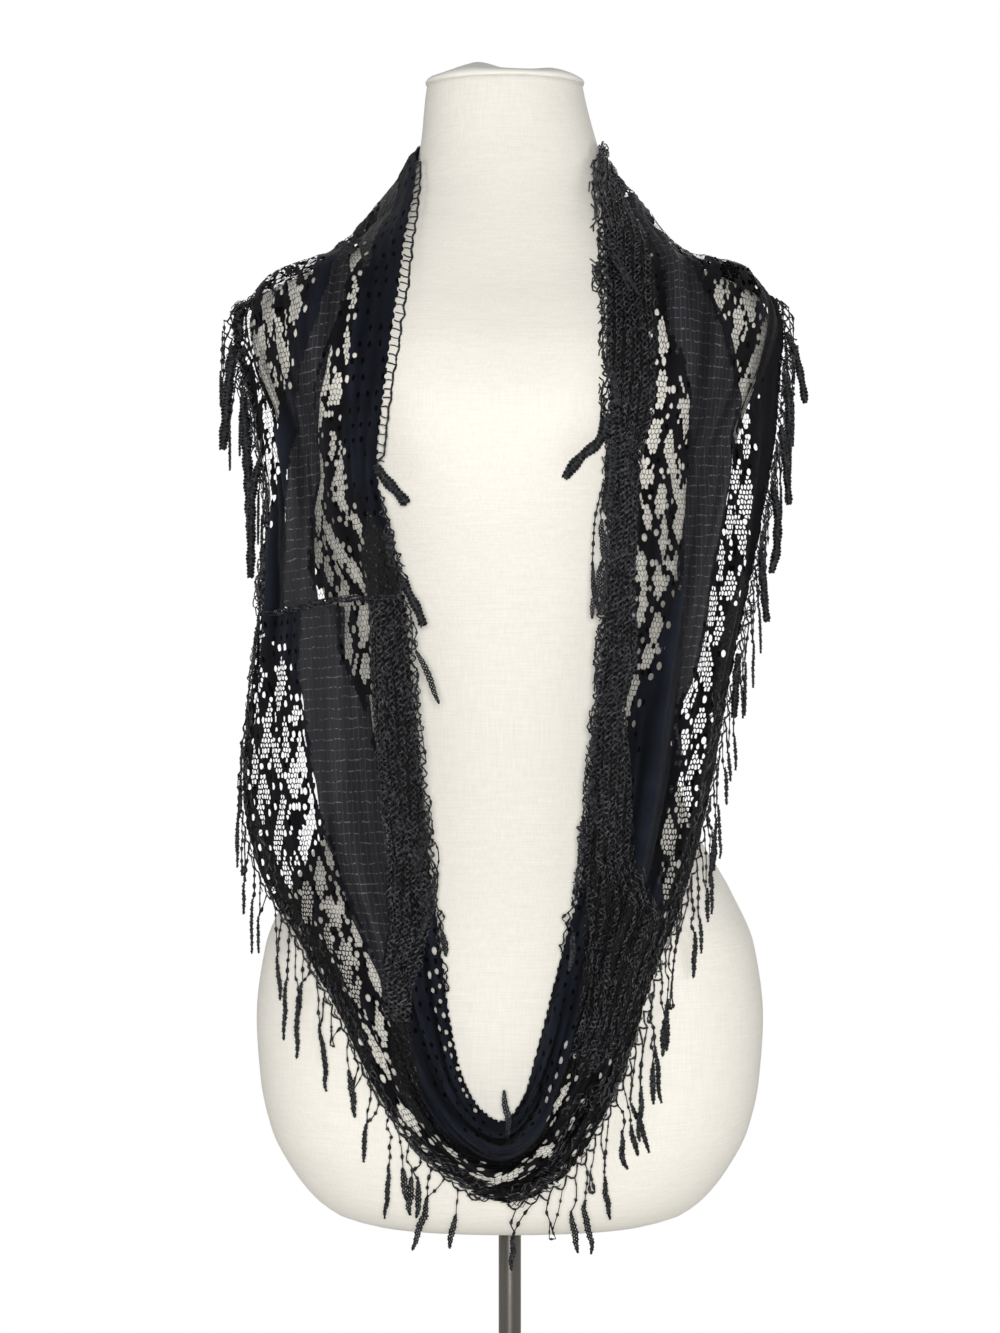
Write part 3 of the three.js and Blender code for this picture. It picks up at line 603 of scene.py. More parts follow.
def standBase():
    r, h = standShape["baseRadius"], standShape["baseThickness"]
    hub, top = standShape["hubRadius"], standShape["hubHeight"]
    plate = [(r - 2, 0), (r - 0.5, 0.5), (r, 2), (r, h - 3.2), (r - 0.8, h - 1.8), (r - 2.6, h - 1.2),
             (r - 6, h - 1)]
    flare = [(hub + 16, h - 0.2), (hub + 8, h + 0.6), (hub + 3, h + 3), (hub + 0.8, h + 8), (hub, h + 14)]
    rim = [(hub - 2, top - 3), (hub - 2.4, top - 1.4), (hub - 3.6, top - 0.3), (hub - 5, top)]
    bore = [(standShape["poleRadius"] + 0.4, top), (standShape["poleRadius"] + 0.3, top - 2)]
    return lathe("standBase", plate + flare + rim + bore, baseSteel, 128)


def standPole():
    r, foot, top = standShape["poleRadius"], standShape["poleFoot"], standShape["poleTop"]
    profile = [(r - 0.6, foot), (r, foot + 1), (r, 400), (r, top - 1), (r - 0.4, top)]
    return lathe("standPole", profile, poleSteel, 64)


formPiece = dressForm()
capPiece = neckCap()
basePiece = standBase()
polePiece = standPole()
print("form and stand built")

# lace: a lattice of knitted cells laid flat, open in the leaves of net and where an eyelet falls. A cell is
# drawn coarser than the real knit's, so that it shows
laceShape = {
    "cellAcross": 2.45, "cellAlong": 3.55,      # flat pitch of the cells in mm
    "netOpening": 0.89, "openingSpread": 0.08,      # share of a net cell that is open
    "eyeletSize": (0.86, 0.8), "eyeletPush": 0.55, "eyeletReach": 8.5, "uneven": 0.4,
    "leafPitch": 31, "leafSpacing": 12.5,      # along and across, in mm
    "leafWide": (2.9, 5.6), "leafLong": (9, 17), "leafLean": 0.2,
    "slitShare": 0.6, "slitWide": 1.5, "slitLong": (4, 9), "slitAside": (5.5, 7),
    "eyeletShare": 0.74, "besideShare": 0.55, "beside": 3.2,
    "eyeletsAtEnds": [(-3.4, 3.2), (3.2, 4.4), (0.2, 8.6), (-3.0, -4.0), (3.4, -3.6)],
    # strayShade cells are drawn in the painted-shade copy of the knit
    "strayNet": 0.035, "strayShade": 0.07,      # share of the lace cells that are open or dark by chance
    "drawnIn": 0.2, "drawnInAt": [(8, 12.8), (20, 26)], "drawnInFrom": 0.55,
    "blackHemAt": (24.3, 31),      # stations where the outer hem is plain black
    # ends of the bands across the cloth, from the neck outwards, at stations round the loop:
    # smooth, dense edge lace, first lace, plain, sheer, plain, second lace, then the outer edge lace
    "bandRows": [
        (0.0, 0.1, 0.16, 0.32, 0.32, 0.5, 0.56, 0.86),
        (2.5, 0.16, 0.28, 0.36, 0.36, 0.37, 0.38, 0.9),
        (3.4, 0.17, 0.27, 0.33, 0.33, 0.34, 0.38, 0.93),
        (3.9, 0.17, 0.17, 0.24, 0.24, 0.3, 0.38, 0.93),
        (4.3, 0.18, 0.18, 0.27, 0.27, 0.35, 0.43, 0.93),
        (4.7, 0.19, 0.19, 0.34, 0.34, 0.45, 0.51, 0.94),
        (5.1, 0.23, 0.23, 0.39, 0.39, 0.55, 0.625, 0.95),
        (5.5, 0.27, 0.27, 0.45, 0.45, 0.61, 0.75, 0.95),
        (6.0, 0.25, 0.25, 0.47, 0.47, 0.66, 0.82, 0.97),
        (6.5, 0.12, 0.13, 0.53, 0.53, 0.75, 0.96, 0.98),
        (7.3, 0.0, 0.22, 0.56, 0.56, 0.785, 0.98, 0.985),
        (7.99, 0.0, 0.22, 0.54, 0.54, 0.76, 0.97, 0.98),
        (8.01, 0.0, 0.2, 0.38, 0.38, 0.64, 0.97, 0.98),
        (8.6, 0.0, 0.21, 0.37, 0.38, 0.64, 0.7, 0.97),
        (8.96, 0.0, 0.2, 0.27, 0.27, 0.575, 0.59, 0.94),
        (9.8, 0.0, 0.2, 0.2, 0.2, 0.5, 0.51, 0.93),
        (10.7, 0.0, 0.2, 0.2, 0.2, 0.45, 0.46, 0.82),
        (11.6, 0.04, 0.27, 0.27, 0.27, 0.45, 0.46, 0.85),
        (12.4, 0.22, 0.45, 0.45, 0.45, 0.45, 0.45, 0.76),
        (13.2, 0.39, 0.58, 0.58, 0.58, 0.58, 0.58, 0.82),
        (14.0, 0.52, 0.74, 0.74, 0.74, 0.74, 0.74, 0.88),
        (15.0, 0.54, 0.6, 0.72, 0.72, 0.72, 0.72, 0.78),
        (16.7, 0.5, 0.58, 0.72, 0.72, 0.72, 0.72, 0.78),
        (17.85, 0.36, 0.38, 0.52, 0.52, 0.52, 0.52, 0.52),
        (18.6, 0.36, 0.7, 0.76, 0.76, 0.76, 0.76, 0.76),
        (19.3, 0.34, 0.86, 0.86, 0.86, 0.86, 0.86, 0.86),
        (20.6, 0.1, 0.84, 0.84, 0.84, 0.84, 0.84, 0.84),
        (21.3, 0.0, 0.4, 0.4, 0.6, 0.6, 0.6, 0.8),
        (22.1, 0.0, 0.3, 0.3, 0.62, 0.62, 0.62, 0.8),
        (22.9, 0.0, 0.18, 0.25, 0.55, 0.56, 0.56, 0.78),
        (23.4, 0.0, 0.24, 0.34, 0.52, 0.62, 0.62, 0.81),
        (23.9, 0.0, 0.18, 0.4, 0.49, 0.65, 0.65, 0.8),
        (24.4, 0.0, 0.16, 0.44, 0.45, 0.66, 0.66, 0.85),
        (25.5, 0.0, 0.16, 0.45, 0.45, 0.67, 0.67, 0.84),
        (26.3, 0.0, 0.2, 0.38, 0.38, 0.61, 0.61, 0.77),
        (27.4, 0.0, 0.22, 0.26, 0.26, 0.475, 0.475, 0.66),
        (28.2, 0.0, 0.21, 0.25, 0.25, 0.385, 0.385, 0.62),
        (28.8, 0.0, 0.2, 0.24, 0.24, 0.35, 0.35, 0.56),
        (29.5, 0.0, 0.2, 0.26, 0.26, 0.36, 0.36, 0.7),
        (32.0, 0.1, 0.16, 0.32, 0.32, 0.5, 0.56, 0.86),
    ],
}
bandTable = np.array(laceShape["bandRows"], float)
closeEdge, tricot, lace, net, sheer, blackHem = range(6)      # what a cell of the lattice can be
stretches = [
    # name, CAD node, first and last station
    ("laceBack", "scarf_back", 29.5, 34.5),
    ("laceLeftUpper", "scarf_left_upper", 2.5, 8.0),
    ("laceLeftLower", "scarf_left_lower", 8.0, 14.4),
    ("laceBottom", "scarf_bottom", 14.4, 17.7),
    ("laceRightLower", "scarf_right_lower", 17.7, 23.5),
    ("laceRightUpper", "scarf_right_upper", 23.5, 29.5),
]


def bandEnds(t):
    t = np.mod(t, stationCount)
    return [np.interp(t, bandTable[:, 0], bandTable[:, k]) for k in range(1, 8)]


def bandKinds(s, t):
    # sheer cells are left out, since the sheer band is a piece of its own
    kind = np.full(s.shape, closeEdge)
    for limit, value in zip(bandEnds(t)[::-1], (lace, tricot, sheer, tricot, lace, closeEdge, tricot)):
        kind[s < limit] = value
    return kind


def wander(u, v):
    # a slow drift in mm, so that no edge of a pattern runs dead straight
    return 2.0 * np.sin(0.031 * v + 0.05 * u) + 1.1 * np.sin(0.083 * v - 0.11 * u + 1.3)


def laceMotifs():
    # leaves of open net in staggered files down each lace band, with round eyelets at their ends and sides
    leaves, eyelets = [], []
    for lowEnd, highEnd in ((1, 2), (5, 6)):
        for half in range(int(2 * loopLength / laceShape["leafPitch"])):
            v = half * laceShape["leafPitch"] / 2
            t = np.interp(v, vRow, tLine)
            ends = bandEnds(t)
            low, high = (float(toFlat(ends[k], t)[0]) for k in (lowEnd, highEnd))
            files = int((high - low) / laceShape["leafSpacing"] + 0.35)
            for k in range(files):
                if (k + half) % 2:
                    continue
                u = low + (k + 0.5) * (high - low) / files + rng.uniform(-1.5, 1.5)
                at = v + rng.uniform(-3.5, 3.5)
                wide, long = rng.uniform(*laceShape["leafWide"]), rng.uniform(*laceShape["leafLong"])
                lean = rng.uniform(-laceShape["leafLean"], laceShape["leafLean"])
                leaves.append((u, at, wide, long, lean))
                if rng.random() < laceShape["slitShare"]:
                    beside = u + rng.choice((-1, 1)) * rng.uniform(*laceShape["slitAside"])
                    leaves.append((beside, at + rng.uniform(-9, 9), laceShape["slitWide"],
                                   rng.uniform(*laceShape["slitLong"]), lean + rng.uniform(-0.1, 0.1)))
                for du, dv in laceShape["eyeletsAtEnds"]:
                    if rng.random() < laceShape["eyeletShare"]:
                        eyelets.append((u + du + rng.uniform(-0.6, 0.6), at + dv + math.copysign(long, dv)))
                for way in (-1, 1):
                    if rng.random() < laceShape["besideShare"]:
                        eyelets.append((u + way * (wide + laceShape["beside"]), at + rng.uniform(-6, 6)))
    return leaves, eyelets


def extraEyelets():
    # files of small holes in the close stretches: gathered bottom, inner hem of the lower left, stray ones
    spots = []
    files = [
        # share of the width, first and last station, step in stations
        (0.63, 14.6, 17.6, 0.13), (0.7, 14.4, 18.2, 0.12), (0.92, 14.2, 18.0, 0.13), (0.05, 11.8, 15.0, 0.1),
        (0.1, 12.3, 13.7, 0.15), (0.78, 12.6, 14.6, 0.14), (0.3, 17.6, 18.6, 0.14), (0.42, 17.4, 18.8, 0.12),
        (0.93, 9.2, 12.5, 0.2), (0.6, 27.5, 29.4, 0.13), (0.8, 26.5, 29, 0.12),
    ]
    for share, start, end, step in files:
        for t in np.arange(start, end, step):
            if rng.random() < 0.78:
                u, v = toFlat(share + rng.uniform(-0.008, 0.008), t)
                spots.append((float(u), float(v)))
    return spots


netLeaves, eyeletSpots = laceMotifs()
eyeletSpots += extraEyelets()
rowCount = 2 * round(loopLength / laceShape["cellAlong"] / 2)
cellAlong = loopLength / rowCount
cellAcross = laceShape["cellAcross"]
hexCorners = [(0, 2), (1, 1), (1, -1), (0, -2), (-1, -1), (-1, 1)]      # half cells across, third rows along
seamStation = 8.0


def inLeaves(u, v):
    inside = np.zeros(u.shape, bool)
    for cu, cv, wide, long, lean in netLeaves:
        for turn in (0, loopLength):
            near = np.nonzero(np.abs(v - cv - turn) < long)[0]
            y = v[near] - cv - turn
            x = u[near] - cu - lean * y
            inside[near] |= (np.abs(x) / wide) ** 1.7 + (np.abs(y) / long) ** 1.7 < 1
    return inside


def steadyNoise(keys):
    # the same offset for the same corner of the lattice, in whichever stretch it is drawn
    keys = np.array(keys, float)
    keys[:, 1] = np.mod(keys[:, 1], 3 * rowCount)
    spread = [np.mod(np.sin(keys @ pair) * 43758.5, 1) - 0.5 for pair in ((12.99, 78.23), (39.35, 11.14))]
    return np.stack(spread, axis=-1) * (2.0, 3.4)


def cellsBetween(vStart, vEnd):
    # column and row of each cell, its place laid flat and on the cloth, and how wide the cloth is there
    rows = np.arange(math.ceil(vStart / cellAlong - 0.5), math.ceil(vEnd / cellAlong - 0.5))
    i, j = (m.ravel() for m in np.meshgrid(np.arange(int(widthRow.max() / cellAcross) + 1), rows))
    u, v = (i + 0.5 + 0.5 * (j % 2)) * cellAcross, (j + 0.5) * cellAlong
    s, t = fromFlat(u, v)
    width = np.interp(np.mod(t, stationCount), tLine, widthRow)
    kept = s < 1 - 0.5 / width
    return [values[kept] for values in (i, j, u, v, s, t, width)]


def cellKinds(i, j, u, v, s, t, width, chance):
    # what each cell is, and whether it is one of the small dark eyelets or stray cells, drawn closed in a
    # darker knit as painted shade
    drifted = s + wander(u, v) / width
    kind = bandKinds(drifted, t)
    hemFrom, hemTo = laceShape["blackHemAt"]
    kind[(kind == closeEdge) & (drifted > bandEnds(t)[6]) & (t > hemFrom) & (t < hemTo)] = blackHem
    kind[(kind == lace) & inLeaves(u, v)] = net
    kind[(kind == lace) & (chance > 1 - laceShape["strayNet"])] = net
    # they stand in rows in the tricot: near the inner edge, and below the join near the outer one
    dark = (kind == tricot) & (s < 0.33) & (j % 3 == 0) & ((i + j // 3) % 3 == 1) & (chance < 0.75)
    dark |= (kind == tricot) & (t > 8) & (t < 9.6) & (s > 0.6) & (j % 3 == 0) & (i % 3 == 0)
    dark |= (kind == lace) & (chance < laceShape["strayShade"])
    return kind, dark


def eyeletCells(i, j, kind):
    # the cells in which an open eyelet falls, none of them close to another
    cellAt = {(a, b): n for n, (a, b) in enumerate(zip(i.tolist(), j.tolist()))}
    wanted, blocked = set(), set()
    for eu, ev in eyeletSpots:
        for turn in (0, loopLength):
            b = math.floor((ev + turn) / cellAlong)
            a = round(eu / cellAcross - 0.5 - 0.5 * (b % 2))
            n = cellAt.get((a, b))
            if n is None or kind[n] in (net, sheer) or (a, b) in blocked:
                continue
            wanted.add(n)
            blocked |= {(a + da, b + db) for da in (-1, 0, 1) for db in (-2, -1, 0, 1, 2)}
    return wanted


def cornerKey(i, j, dx, dy):
    # neighbouring cells give a shared corner the same key
    return 2 * i + 1 + (j % 2) + dx, 3 * j + dy


def laceStretch(name, start, end):
    vStart, vEnd = (float(toFlat(0.5, t)[1]) for t in (start, end))
    i, j, u, v, s, t, width = cellsBetween(vStart, vEnd)
    chance = noiseRng.random(len(u))
    kind, dark = cellKinds(i, j, u, v, s, t, width, chance)
    wanted = eyeletCells(i, j, kind)
    # towards the free outer edges of the lower sides the net hangs drawn in, so its holes are smaller
    aside = sum((t > low) & (t < high) for low, high in laceShape["drawnInAt"])
    drawnIn = laceShape["drawnIn"] * softStep((s - laceShape["drawnInFrom"]) / 0.15) * aside
    opening = laceShape["netOpening"] + laceShape["openingSpread"] * (chance - 0.5) - drawnIn

    knits = [laceBlack, denseBlack, tricotNavy, eyeletShade]
    knitOf = {closeEdge: 1, tricot: 2}      # any other cell is in the first
    corners, faces, looks, opened = {}, [], [], []
    for n in np.nonzero(kind != sheer)[0]:
        ring = [corners.setdefault(cornerKey(i[n], j[n], dx, dy), len(corners)) for dx, dy in hexCorners]
        if n in wanted or kind[n] == net:
            opened.append((n, ring))
        else:
            faces.append(tuple(ring))
            looks.append(3 if dark[n] else knitOf.get(int(kind[n]), 0))
    flat = np.array([(kx * cellAcross / 2, (ky + 1.5) * cellAlong / 3) for kx, ky in corners])
    moved = flat + laceShape["uneven"] * steadyNoise(list(corners))
    for n in sorted(wanted):      # an eyelet pushes the knit round it aside
        for dx in range(-4, 5):
            for dy in range(-6, 7):
                at = corners.get(cornerKey(i[n], j[n], dx, dy))
                if at is not None:
                    d = flat[at] - (u[n], v[n])
                    moved[at] += d * laceShape["eyeletPush"] * math.exp(-(d @ d) / laceShape["eyeletReach"])
    moved = [tuple(p) for p in moved]
    for n, ring in opened:
        rim = np.array([moved[k] for k in ring])
        centre = rim.mean(axis=0)
        first = len(moved)
        if n in wanted:      # a round hole of twelve sides
            half = np.abs(rim - centre).max(axis=0) * laceShape["eyeletSize"] * (0.8 + 0.3 * chance[n])
            for k in range(12):
                angle = math.pi / 2 - 2 * math.pi * k / 12
                moved.append((centre[0] + half[0] * math.cos(angle), centre[1] + half[1] * math.sin(angle)))
            for k in range(6):
                m = (k + 1) % 6
                a, b, c = first + 2 * k, first + 2 * k + 1, first + (2 * k + 2) % 12
                faces += [(ring[k], ring[m], b), (ring[k], b, a), (ring[m], c, b)]
                looks += [0] * 3
        else:                # a net cell: only a thread is left round it
            moved += [tuple(centre + (p - centre) * opening[n]) for p in rim]
            for k in range(6):
                m = (k + 1) % 6
                faces.append((ring[k], ring[m], first + m, first + k))
                looks.append(0)
    flat = np.array(moved)
    if end == seamStation:
        flat[:, 1] = np.minimum(flat[:, 1], vEnd)
    if start == seamStation:
        flat[:, 1] = np.maximum(flat[:, 1], vStart)
    s, t = fromFlat(flat[:, 0], flat[:, 1])
    s = np.clip(s, 0, 1)
    bumpy = 0.35 * np.sin(flat[:, 0] * 1.7 + 2 * np.sin(flat[:, 1] * 0.4)) * np.sin(flat[:, 1] * 0.9)
    piece = meshObject(name, onCloth(s, t, bumpy), faces, knits, uvs=flat, faceMaterials=looks,
                       shades=fromGrid(shadeGrid, sLine, s, t))
    knit = 0
    for face in faces:
        x, y = flat[list(face), 0], flat[list(face), 1]
        knit += abs(np.dot(x, np.roll(y, -1)) - np.dot(y, np.roll(x, -1))) / 2
    triangles = sum(len(face) - 2 for face in faces)
    print(name, triangles, "triangles,", round(knit / 100), "cm2 of knit")
    return {"piece": piece, "knit": knit * mm * mm, "length": (vEnd - vStart) * mm,
            "width": float(width.max()) * mm}


lacePieces = {name: laceStretch(name, start, end) for name, _, start, end in stretches}


def sheerBand(name, start, end):
    rows, columns = int((end - start) * sampling["perStation"]), 24
    margin = 3.4      # mm that it reaches under the knit on both sides
    t = np.linspace(start, end, rows)
    low, high = bandEnds(t)[3:5]
    width = np.interp(np.mod(t, stationCount), tLine, widthRow)
    middle, v = toFlat((low + high) / 2, t)
    drift = wander(middle, v)
    low, high = low - (drift + margin) / width, high + (margin - drift) / width
    share = np.linspace(0, 1, columns)
    s = low[:, None] + (high - low)[:, None] * share[None, :]
    t = np.repeat(t[:, None], columns, axis=1)
    u, v = toFlat(s, t)
    crinkle = 0.45 * np.sin(u * 0.9 + 2 * np.sin(v * 0.06)) - 0.7
    return meshObject(name, onCloth(s, t, crinkle).reshape(-1, 3), gridFaces(rows, columns), voile,
                      uvs=np.stack([u.ravel(), v.ravel()], axis=-1),
                      shades=fromGrid(shadeGrid, sLine, s, t).ravel())


sheerPieces = {
    "laceBack": sheerBand("sheerBack", 29.5, 34.5),
    "laceLeftUpper": sheerBand("sheerLeftUpper", 2.5, 8.0),
    "laceLeftLower": sheerBand("sheerLeftLower", 8.0, 12.9),
    "laceRightLower": sheerBand("sheerRightLower", 20.6, 23.5),
    "laceRightUpper": sheerBand("sheerRightUpper", 23.5, 29.5),
}
print("lace and sheer bands built")


class YarnBasket:
    # collects tubes, then makes one mesh of them
    def __init__(self):
        self.points, self.faces = [], []

    def tube(self, path, radii, sides=4):
        path = np.asarray(path, float)
        radii = np.broadcast_to(np.asarray(radii, float), (len(path),))
        along = unit(np.gradient(path, axis=0))
        guide = np.where(np.abs(along[:, 1:2]) < 0.9, [[0, 1, 0]], [[1, 0, 0]])
        sideways = unit(np.cross(along, guide))
        up = np.cross(along, sideways)
        angles = 2 * np.pi * (np.arange(sides) + 0.5) / sides
        across = np.cos(angles)[None, :, None] * sideways[:, None, :]
        across = across + np.sin(angles)[None, :, None] * up[:, None, :]
        rings = path[:, None, :] + radii[:, None, None] * across
        first = len(self.points)
        self.points.extend(rings.reshape(-1, 3))
        for i in range(len(path) - 1):
            for j in range(sides):
                k = (j + 1) % sides
                a, b = first + i * sides, first + (i + 1) * sides
                self.faces.append((a + j, a + k, b + k, b + j))
        self.faces.append(tuple(first + j for j in reversed(range(sides))))
        self.faces.append(tuple(first + (len(path) - 1) * sides + j for j in range(sides)))

    def piece(self, name, material):
        print(name, sum(len(face) - 2 for face in self.faces), "triangles")
        return meshObject(name, self.points, self.faces, material)


# what the yarn hangs against: the cloth and the form
gridMesh = clothGrid[:, onStrip] * mm
bodyPoints = [tuple(p) for p in gridMesh.reshape(-1, 3)]
bodyFaces = gridFaces(*gridMesh.shape[:2])
offset = len(bodyPoints)
bodyPoints += [tuple(v.co) for v in formPiece.data.vertices]
bodyFaces += [tuple(offset + k for k in p.vertices) for p in formPiece.data.polygons]
bodyTree = BVHTree.FromPolygons(bodyPoints, bodyFaces)
wellOutside = 0.45      # m from the axis, farther out than any piece


def hangClear(path, layer):
    # moves each point straight out from the form's axis until it lies outside the cloth and the form
    out = []
    for p in path:
        level = math.hypot(p[0], p[1])
        direction = Vector((p[0], p[1], 0)) / max(level, 1e-6)
        hit, _, _, away = bodyTree.ray_cast(direction * wellOutside + Vector((0, 0, p[2])), -direction)
        if hit is not None:
            level = max(level, wellOutside - away + layer)
        out.append((direction.x * level, direction.y * level, p[2]))
    out = np.array(out)
    if len(out) > 3:      # a hanging thread makes no sharp steps
        for _ in range(3):
            radial = np.linalg.norm(out[:, :2], axis=1)
            eased = radial.copy()
            eased[1:-1] = np.maximum(radial[1:-1], (radial[:-2] + radial[2:]) / 2)
            out[:, :2] *= (eased / np.maximum(radial, 1e-6))[:, None]
    return out


def smoothPath(points, step):
    points = np.asarray(points, float)
    run = runAlong(points)
    at = np.linspace(0, run[-1], max(3, int(run[-1] / step) + 1))
    return np.stack([smoothColumn(run, points[:, k], at) for k in range(3)], axis=-1)


fringeShape = {
    "pitch": 11, "heading": 6.5,      # mm between scallops, and their depth
    "thread": 33, "leaf": 36, "leafWide": 5.8, "leafTurn": 6.6,
    "yarn": 0.48, "knot": 1.3, "knotWide": 1.1, "knotPitch": 8.5, "step": 1.5,
    "openRow": (7, 25),      # outside these stations, on the shoulders, there is a second open row
    "together": 0.45, "looped": 0.5,      # share of the threads that meet, and of the leafless ones that loop
    "threadLong": (0.5, 1.15), "leafLong": (0.6, 1.2), "curls": (1.0, 1.8, 3.0), "layer": (1.4, 3.4),
}


def sideways(point):
    # level, square to the line from the axis
    return unit(np.array([-point[1], point[0], 0.0]))


def hangingPath(root, long, lean, curl, layer):
    # down from the root, wandering a little from side to side
    n = max(4, int(long / 7) + 2)
    share = np.linspace(0, 1, n)
    drift = np.cumsum([0] + [rng.gauss(0, curl) for _ in range(n - 1)])
    drift -= share * drift[-1] * 0.6
    across = (lean * share * long + drift)[:, None] * sideways(root)[None, :]
    down = (share * long)[:, None] * np.array([[0, 0, -1.0]])
    path = hangClear(root + (across + down) * mm, layer)
    path[0] = root
    return path


def knottedThread(basket, path):
    line = smoothPath(path, fringeShape["step"] * mm)
    pitch = fringeShape["knotPitch"] * rng.uniform(0.7, 1.2)
    run = np.arange(len(line)) * fringeShape["step"] + rng.uniform(0, pitch)
    knots = np.abs(np.mod(run, pitch) - pitch / 2) < fringeShape["knotWide"]
    size = fringeShape["knot"] * (1 + 0.35 * np.sin(run * 0.9))
    basket.tube(line, np.where(knots, size, fringeShape["yarn"] * rng.uniform(0.8, 1.3)) * mm)


def leafTassel(basket, path, wide):
    # three strands plaited flat, pointed at both ends
    line = smoothPath(path, fringeShape["step"] * mm)
    radial = unit(line * [1, 1, 0])
    across = unit(np.cross(unit(np.gradient(line, axis=0)), radial))
    share = np.linspace(0, 1, len(line))
    shape = np.sin(np.pi * np.clip(0.06 + 0.9 * share, 0, 1)) ** 0.7
    turn = 2 * np.pi * np.arange(len(line)) * fringeShape["step"] / fringeShape["leafTurn"]
    for k in range(3):
        phase = turn + k * 2 * np.pi / 3
        lateral = (wide / 2 - 0.6) * mm * shape * np.sin(phase)
        depth = (0.7 + 0.6 * np.sin(2 * phase)) * mm
        basket.tube(line + across * lateral[:, None] + radial * depth[:, None], (0.5 + 0.35 * shape) * mm)


def edgeAnchors(side, start, end, pitch, lift=0.6):
    t = np.linspace(start, end, int((end - start) * 60))
    line = onCloth(np.full(len(t), float(side)), t, np.full(len(t), lift))
    run = runAlong(line)
    at = np.arange(0, run[-1], pitch * mm)
    return np.stack([np.interp(at, run, line[:, k]) for k in range(3)], axis=-1), np.interp(at, run, t)


def outFromEdge(side, t):
    # unit vector that leaves the cloth's edge in the cloth's own surface, let down a little by its weight
    edge, inside = onCloth(float(side), t), onCloth(side + (0.04 if side == 0 else -0.04), t)
    return unit(unit(edge - inside) - np.array([0, 0, 0.35]))


def fringeRun(name, side, start, end, drops, spread=0.1, leafShare=0.85, hung=1.0):
    # a row of thick knotted scallops, a second open row on the shoulders, then threads that end in leaves
    basket = YarnBasket()
    # the inner edges and the left outer one have a shallower heading, the inner ones a closer one as well
    heading = fringeShape["heading"] * (1 if side and name != "fringeOuterLeft" else 0.6)
    anchors, t = edgeAnchors(side, start, end, fringeShape["pitch"] * (1 if side else 0.7))
    feet = []
    for a, b, at in zip(anchors[:-1], anchors[1:], t):
        drop = float(np.interp(at, [d[0] for d in drops], [d[1] for d in drops]))
        sag = heading * rng.uniform(0.6, 1.3) * min(1, 0.4 + drop)
        foot = hangClear([(a + b) / 2 + outFromEdge(side, at) * sag * mm], 1.2 * mm)[0]
        for knot in (a, b):
            bend = knot * 0.4 + foot * 0.6 + sideways(foot) * rng.uniform(-1.2, 1.2) * mm - [0, 0, 1.0 * mm]
            line = hangClear(smoothPath([knot, bend, foot], fringeShape["step"] * mm), 0.9 * mm)
            basket.tube(line, np.array([rng.uniform(0.5, 1.0) for _ in line]) * mm)
        feet.append((foot, drop, at))
    lower = []
    for (a, drop, at), (b, _, _) in zip(feet[:-1], feet[1:]):
        isOpen = side == 1 and not fringeShape["openRow"][0] <= at <= fringeShape["openRow"][1]
        foot = a
        if isOpen:
            foot = (a + b) / 2 + outFromEdge(side, at) * heading * rng.uniform(0.8, 1.4) * drop * mm
            foot = hangClear([foot], 1.6 * mm)[0]
        for knot in (a, b) if isOpen else ():
            if rng.random() < 0.85:
                line = smoothPath([knot, (knot + foot) / 2, foot], fringeShape["step"] * mm)
                line = hangClear(line, 1.2 * mm)
                basket.tube(line, np.array([rng.uniform(0.45, 0.85) for _ in line]) * mm)
        lower.append((foot, drop))
    feet = [foot for foot in lower if rng.random() < hung]
    k = 0
    while k < len(feet):
        foot, drop = feet[k]
        layer = rng.uniform(*fringeShape["layer"]) * mm
        long = fringeShape["thread"] * drop * rng.uniform(*fringeShape["threadLong"])
        lean = rng.gauss(0, spread)
        path = hangingPath(foot, long, lean, rng.choice(fringeShape["curls"]), layer)
        knottedThread(basket, path)
        together = k + 1 < len(feet) and rng.random() < fringeShape["together"] * hung
        if together:
            other = feet[k + 1][0]
            middle = (other + path[-1]) / 2 + sideways(other) * rng.uniform(-2, 2) * mm
            knottedThread(basket, hangClear([other, middle, path[-1]], layer))
        if rng.random() < leafShare:
            leafLong = fringeShape["leaf"] * rng.uniform(*fringeShape["leafLong"]) * (0.5 + 0.5 * drop)
            leafTassel(basket, hangingPath(path[-1], leafLong, lean + rng.gauss(0, 0.1), 1.2, layer),
                       fringeShape["leafWide"] * rng.uniform(0.75, 1.15))
        elif rng.random() < fringeShape["looped"]:      # the thread's end comes back up
            turn = path[-1] - np.array([0, 0, rng.uniform(4, 9) * mm])
            knottedThread(basket, hangClear([path[-1], turn + sideways(turn) * 2.5 * mm,
                                             turn - sideways(turn) * 2.0 * mm, path[len(path) // 2]], layer))
        k += 2 if together else 1
    return basket.piece(name, fringeYarn)


fringePieces = {
    # side, first and last station, share of the full length at stations, then spread, leaves and threads
    "fringe_outer_left": fringeRun("fringeOuterLeft", 1, 2.6, 15.9, [
        (2.6, 0.8), (5, 0.9), (8, 0.6), (10, 0.8), (11.5, 1), (14, 1), (15, 0.7), (15.9, 0.45)]),
    "fringe_outer_right": fringeRun("fringeOuterRight", 1, 16.1, 29.4, [
        (16.1, 0.45), (17.5, 0.8), (20, 1), (22.5, 0.8), (25, 0.6), (29.4, 0.8)]),
    "fringe_back": fringeRun("fringeBack", 1, 29.6, 34.4, [(29.6, 0.9), (34.4, 0.9)]),
    "fringe_inner_left": fringeRun("fringeInnerLeft", 0, 6.3, 12.0, [
        (6.3, 0.5), (8, 0.8), (11, 0.6), (12, 0.3)], 0.06, 0.5, 0.34),
    "fringe_inner_right": fringeRun("fringeInnerRight", 0, 19.8, 28.6, [
        (19.8, 0.3), (22, 0.6), (25, 0.8), (28.6, 0.5)], 0.06, 0.5, 0.3),
}


